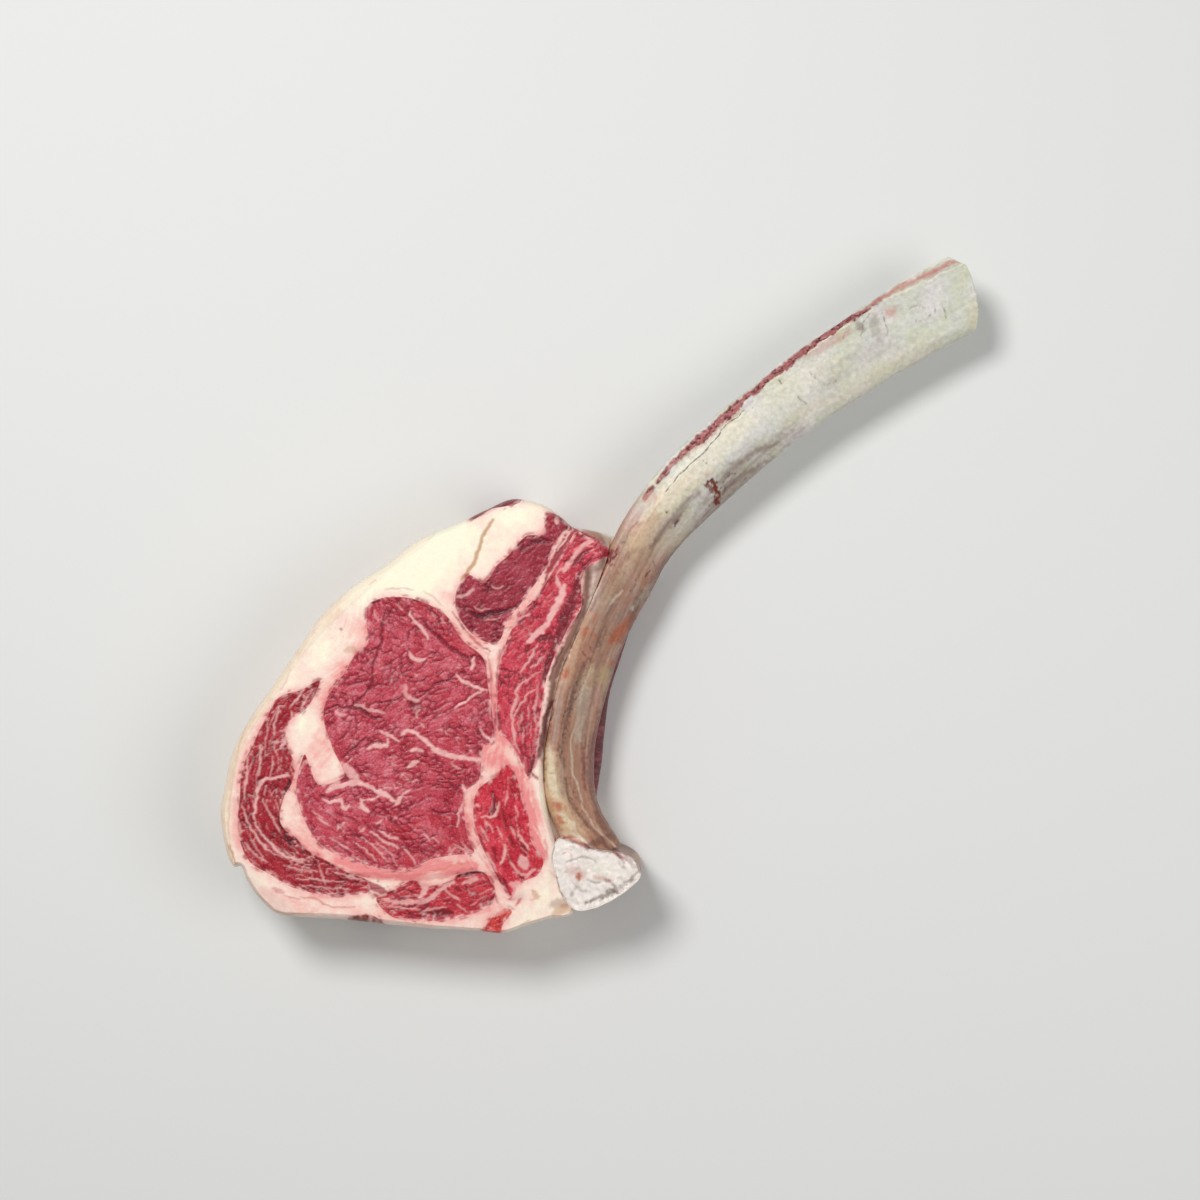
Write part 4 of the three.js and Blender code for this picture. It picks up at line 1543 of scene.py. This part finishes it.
def surface(name):
    """A new material and its tree of nodes, still empty."""
    material = bpy.data.materials.new(name)
    material.use_nodes = True
    tree = material.node_tree
    tree.nodes.clear()
    return material, tree


def speckle(tree, place, scale, detail):
    """Noise of so many swells to the metre: at 1000, one is a millimetre wide."""
    return add(tree, "ShaderNodeTexNoise", {"Vector": place, "Scale": scale, "Detail": detail})


def calculated(tree, operation, *values):
    """One step of arithmetic on numbers or other nodes' outputs."""
    return add(tree, "ShaderNodeMath", dict(enumerate(values)), operation=operation).outputs[0]


def graded(tree, value, stops):
    """A colour for a number, by colours at given places between 0 and 1."""
    return add(tree, "ShaderNodeValToRGB", {"Fac": value},
               stops=[(at, linear(colour)) for at, colour in stops]).outputs["Color"]


def dimmed(tree, colour, value, low, high, dark, bright):
    """Makes a colour darker or brighter with a value."""
    factor = ranged(tree, value, low, high, dark, bright)
    return add(tree, "ShaderNodeVectorMath", {0: colour, 1: factor}, operation="MULTIPLY").outputs["Vector"]


def finish_surface(tree, colour, height, relief, look):
    """Ends a material: its colour, the strength and depth of its fine relief, and its gloss."""
    strength, distance = relief
    bump = add(tree, "ShaderNodeBump", {"Height": height, "Strength": strength, "Distance": distance})
    shader = add(tree, "ShaderNodeBsdfPrincipled", {
        "Base Color": colour, "Normal": bump.outputs["Normal"], "Subsurface Scale": 1.0, **look})
    add(tree, "ShaderNodeOutputMaterial", {"Surface": shader.outputs["BSDF"]})


def mixed(tree, colour, hex_colour, mask):
    """Lays a colour over another where a mask is."""
    return add(tree, "ShaderNodeMix", {"Factor": mask, "A": colour, "B": linear(hex_colour)},
               data_type="RGBA").outputs["Result"]


def attribute(tree, name):
    """A number that write_attribute kept for each vertex."""
    return add(tree, "ShaderNodeAttribute", attribute_name=name).outputs["Fac"]


def ranged(tree, value, low, high, to_low=0.0, to_high=1.0):
    """Stretches the numbers from low to high over another range."""
    return add(tree, "ShaderNodeMapRange", {"Value": value, "From Min": low, "From Max": high,
                                            "To Min": to_low, "To Max": to_high}).outputs["Result"]


def lean_material(name, pale, middle, deep, shade):
    """Raw beef, freshly cut across its fibres: moist, with shade painted dark in its folds and creases, and
    thin white marbling.
    """
    material, tree = surface(name)
    place = add(tree, "ShaderNodeTexCoord").outputs["Object"]
    specks = speckle(tree, place, 1100.0, 3.0)  # 0.9 mm wide
    speck = specks.outputs["Fac"]
    bent = add(tree, "ShaderNodeVectorMath", {0: specks.outputs["Color"], 1: (0.0011,) * 3, 2: place},
               operation="MULTIPLY_ADD").outputs["Vector"]
    # cells of 2.5 mm, about the size of a small bundle of fibres, and patches of 4 mm where they show:
    # shade is painted along their walls there
    cell = add(tree, "ShaderNodeTexVoronoi", {"Vector": bent, "Scale": 400.0},
               feature="DISTANCE_TO_EDGE").outputs["Distance"]
    patches = speckle(tree, place, 260.0, 2.0).outputs["Fac"]
    fold_shade = calculated(tree, "MULTIPLY", ranged(tree, cell, 0.09, 0.0), ranged(tree, patches, 0.42, 0.6))
    varied = calculated(tree, "MULTIPLY_ADD", speck, 0.7, attribute(tree, "tone"))
    colour = graded(tree, ranged(tree, varied, 0.45, 1.25), [(0.1, deep), (0.5, middle), (0.95, pale)])
    colour = mixed(tree, colour, "#C01A26", attribute(tree, "flush"))
    # painted shade in the fine folds and in the creases
    colour = mixed(tree, colour, shade, calculated(tree, "MULTIPLY", fold_shade, 0.75))
    colour = mixed(tree, colour, shade, attribute(tree, "crease_shade"))
    colour = mixed(tree, colour, "#E8A8AC", ranged(tree, speck, 0.6, 0.72, 0.0, 0.25))
    colour = mixed(tree, colour, "#F2BEB8", attribute(tree, "marbling"))
    finish_surface(tree, colour, speck, (0.35, 0.0003), {
        "Roughness": 0.4, "IOR": 1.4, "Subsurface Weight": 0.05,
        "Subsurface Radius": (0.003, 0.0008, 0.0006)})
    return material


# The dark layer is painted shade: the crevice beside the rib and the folds of the lean patches.
FAT_LAYERS = (
    ("grey", "#C2A49C"), ("tan", "#8E6252"), ("red", "#C65658"), ("brown", "#B8804E"),
    ("raw", "#A4303E"), ("dark", "#5A141C"),
)


def fat_material(name, tints):
    """Cold firm beef fat: waxy, satin, cream where it is thick and pink beside the lean, with shade painted
    in the crevice beside the rib.
    """
    material, tree = surface(name)
    place = add(tree, "ShaderNodeTexCoord").outputs["Object"]
    cloud = speckle(tree, place, 300.0, 5.0).outputs["Fac"]  # 3 mm wide
    cloudy = ranged(tree, cloud, 0.3, 0.7, -0.12, 0.12)
    varied = calculated(tree, "ADD", cloudy, attribute(tree, "blush"))
    colour = graded(tree, varied, zip((0.06, 0.42, 0.75, 1.0), tints))
    for word, tint in FAT_LAYERS:
        colour = mixed(tree, colour, tint, attribute(tree, word))
    fine = speckle(tree, place, 900.0, 3.0).outputs["Fac"]  # 1.1 mm wide
    colour = dimmed(tree, colour, fine, 0.3, 0.7, 0.965, 1.03)
    finish_surface(tree, colour, fine, (0.3, 0.0003), {
        "Roughness": 0.45, "IOR": 1.45, "Subsurface Weight": 0.1,
        "Subsurface Radius": (0.003, 0.002, 0.0015)})
    return material


# The dark brown along the rib's right flank and lower side is painted shade; so are the grey down its lower
# side and part of the maroon meat left on it.
BONE_LAYERS = (
    ("head", "#F2E8E0"), ("tan", "#B07C62"), ("sand", "#E4C4A0"), ("yellow", "#CDBC86"),
    ("grey", "#8E7A72"), ("pink", "#C88478"), ("cream", "#F0E8D2"), ("brown", "#6C4838"),
    ("orange", "#B65A32"), ("edge_shade", "#70493C"), ("flesh_and_shade", "#7A2028"), ("crag", "#6A564A"),
    ("marrow", "#AC6664"), ("pores", "#64282C"), ("rust", "#6E260E"), ("pits", "#584034"),
    ("crack", "#5E4436"),
)


def bone_material(name):
    """Scraped rib bone: pale, smooth and slightly moist, tan where its skin is left on, with shade painted
    along its right flank and lower side.
    """
    material, tree = surface(name)
    place = add(tree, "ShaderNodeTexCoord").outputs["Object"]
    cloud = speckle(tree, place, 70.0, 6.0).outputs["Fac"]  # 14 mm wide
    colour = graded(tree, cloud, [(0.35, "#CECEB4"), (0.5, "#D0D0C4"), (0.65, "#DCD6D2")])
    for word, tint in BONE_LAYERS:
        colour = mixed(tree, colour, tint, attribute(tree, word))
    fine = speckle(tree, place, 500.0, 5.0).outputs["Fac"]  # 2 mm wide
    colour = dimmed(tree, colour, fine, 0.3, 0.7, 0.84, 1.08)
    colour = dimmed(tree, colour, attribute(tree, "grain"), -0.6, 0.6, 1.06, 0.93)
    finish_surface(tree, colour, fine, (0.45, 0.0004), {
        "Roughness": 0.4, "IOR": 1.5, "Subsurface Weight": 0.05,
        "Subsurface Radius": (0.002, 0.0015, 0.001)})
    return material


def write_attribute(obj, name, values):
    """Keeps one number for each vertex under a name that the materials read."""
    layer = obj.data.attributes.new(name, "FLOAT", "POINT")
    layer.data.foreach_set("value", np.asarray(values, np.float32))


def dress(obj, material, node, slot):
    """Gives a piece its material, and hides the node that it shows instead; the slot is not used."""
    obj.data.materials.clear()
    obj.data.materials.append(material)
    obj.data.polygons.foreach_set("use_smooth", np.ones(len(obj.data.polygons), bool))
    obj.data.set_sharp_from_angle(angle=SHARP)
    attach(obj, "root")
    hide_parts(node)


# ---- assembly ------------------------------------------------------------------------------------

BELOW_FAT = 0.85  # how far the marks of the fat's sides take over from those of the cut face
BELOW_LEAN = 0.75  # how much weaker the marbling is on the sides
LEANS = {  # pale, middle and deep tones, the shade in the folds, and the slot
    "eye": ("#D67480", "#BE404F", "#A21A2E", "#700420", "lean"),
    "cap": ("#B43844", "#A41628", "#8C0C1A", "#4E0812", "dark_lean"),
    "lower_cap": ("#D4545E", "#C0303E", "#A01C2A", "#5A0A16", "dark_lean"),
    "chine": ("#E0545E", "#CC2C40", "#AE1226", "#660618", "lean"),
    "upper": ("#AE4656", "#9C2437", "#821222", "#540416", "dark_lean"),
    "rib_side": ("#DC606C", "#C63246", "#9E162A", "#5A0818", "lean"),
    "trapezius": ("#9C404A", "#802630", "#5E141C", "#400810", "dark_lean"),
    "chine_trim": ("#E47860", "#D8403A", "#AE1C1E", "#600A0E", "lean"),
    "bottom_edge": ("#A86454", "#8A4034", "#6C2420", "#3C120A", "dark_lean"),
    "intercostal": ("#8A3440", "#6E1A24", "#540E18", "#2C060C", "dark_lean"),
}
FATS = {  # tints from thick fat to the fat beside the lean, the node, and the slot
    "outer_fat": (("#FAECD4", "#F0D6BE", "#E2BCA8", "#D4A090"), "outer_fat_sheet", "outer_fat"),
    "fat_between": (("#FCF6DC", "#FADCCE", "#F4B8AE", "#EC8E8C"), "fat_body", "fat"),
}


def marks_place(co):
    """Where a piece's vertices read the maps, and how far they are below the cut face, from 0 to 1.

    The places drift on the way down, so that the sides vary.
    """
    below = ease(THICKNESS - 3, THICKNESS - 12, co[:, 2]) * ease(1.5, 5, co[:, 2])
    drift_uv = np.column_stack([noise(co, 11, 161, 3), noise(co, 11, 165, 3)])
    return squares(co) + SIDE_DRIFT * below[:, None] * drift_uv, below


def side_fat(co):
    """The fat's marks on its sides: pale cloudy pink, thin red veins and dull dried patches."""
    vein = ease(0.035, 0.0, np.abs(noise(co, 17, 171, 3))) * ease(0.0, 0.3, noise(co, 9, 172, 2))
    dull = ease(0.1, 0.5, noise(co, 13, 173, 3))
    return {
        "blush": 0.22 + 0.3 * noise(co, 15, 174, 3) + 0.12 * noise(co, 3, 175, 2),
        "red": 0.4 * vein,
        "grey": 0.4 * dull,
        "tan": 0.25 * dull * ease(0, 0.4, noise(co, 5, 176, 2)),
    }


def mark_lean(piece, name):
    """Keeps the markings of a muscle: marbling, also where it meets the fat, tone with its painted sheen,
    the painted shade in its folds and creases, and flush.
    """
    co = drawing_place(piece)
    uv, below = marks_place(co)
    rim = ease(0.9, -0.6, sample(depth[name], uv)) * 0.6
    write_attribute(piece, "marbling", np.maximum(rim, sample(marbling, uv)) * (1 - BELOW_LEAN * below))
    write_attribute(piece, "tone", sample(tone, uv) + 0.3 * below * noise(co * (1, 1, 0.3), 3, 177, 3))
    write_attribute(piece, "crease_shade", sample(crease_shade, uv))
    write_attribute(piece, "flush", sample(flush, uv) * 0.7)


def mark_fat(piece):
    """Keeps the markings of the fat: those of the cut face above, and its own ones on the sides."""
    co = drawing_place(piece)
    uv, below = marks_place(co)
    sides = side_fat(co)
    for word, field in fat_maps.items():
        value = sample(field, uv)
        if word in sides:
            value = value + BELOW_FAT * below * (sides[word] - value)
        write_attribute(piece, word, value)


def assemble():
    made = make_meat()
    for name, (*tones, slot) in LEANS.items():
        mark_lean(made[name], name)
        dress(made[name], lean_material(name + "_raw_beef", *tones), PIECES[name], slot)
    for name, (tints, node, slot) in FATS.items():
        mark_fat(made[name])
        dress(made[name], fat_material(name + "_beef_fat", tints), node, slot)
    bone = make_bone()
    bone.name = "rib"
    dress(bone, bone_material("scraped_rib_bone"), "rib_bone", "bone")


FLOOR_HALF_WIDTH = 15  # metres, far wider than the picture
FLOOR_DROP = 0.3  # millimetres that the floor lies below the steak
STEAK = Vector((0, -0.03, 0.03))  # where the lights point, in metres
LAMPS = (  # name, place in metres, width across, watts
    ("key", (-0.5, 0.6, 1.35), 0.5, 15),
    ("fill", (0.9, -0.2, 1.2), 1.0, 6.4),
)
AMBIENT = 0.28  # strength of the even white surroundings
LENS, SENSOR = 85, 36  # millimetres, as on a camera


def make_floor():
    """A pale matt ground under the steak."""
    build = bmesh.new()
    bmesh.ops.create_grid(build, x_segments=1, y_segments=1, size=FLOOR_HALF_WIDTH)
    floor = finished("floor", build)
    floor.data.transform(Matrix.Translation((0, 0, -FLOOR_DROP * MM)))
    material, tree = surface("matt_pale_ground")
    shader = add(tree, "ShaderNodeBsdfPrincipled", {"Base Color": linear("#E2E2E0"), "Roughness": 0.9})
    add(tree, "ShaderNodeOutputMaterial", {"Surface": shader.outputs["BSDF"]})
    floor.data.materials.append(material)


def soft_light(name, place, size, watts):
    """A round lamp of so many metres across, turned to the steak."""
    light = bpy.data.lights.new(name, "AREA")
    light.shape, light.size, light.energy = "DISK", size, watts
    lamp = bpy.data.objects.new(name, light)
    lamp.location = place
    lamp.rotation_euler = (STEAK - Vector(place)).to_track_quat("-Z", "Y").to_euler()
    bpy.context.scene.collection.objects.link(lamp)


def make_studio():
    """Even white surroundings, two lamps, and a camera that looks straight down."""
    scene = bpy.context.scene
    world = bpy.data.worlds.new("studio")
    world.use_nodes = True
    background = world.node_tree.nodes["Background"].inputs
    background["Color"].default_value = linear("#FFFFFF")
    background["Strength"].default_value = AMBIENT
    scene.world = world
    for lamp in LAMPS:
        soft_light(*lamp)
    scene.view_settings.view_transform = "Standard"
    camera = bpy.data.cameras.new("camera")
    camera.lens, camera.sensor_width = LENS, SENSOR
    camera.clip_start, camera.clip_end = 0.05, 20
    holder = bpy.data.objects.new("camera", camera)
    holder.location = (ZERO[0] * MM, ZERO[1] * MM, CAMERA_HEIGHT * MM)
    scene.collection.objects.link(holder)
    scene.camera = holder


make_studio()
make_floor()
assemble()
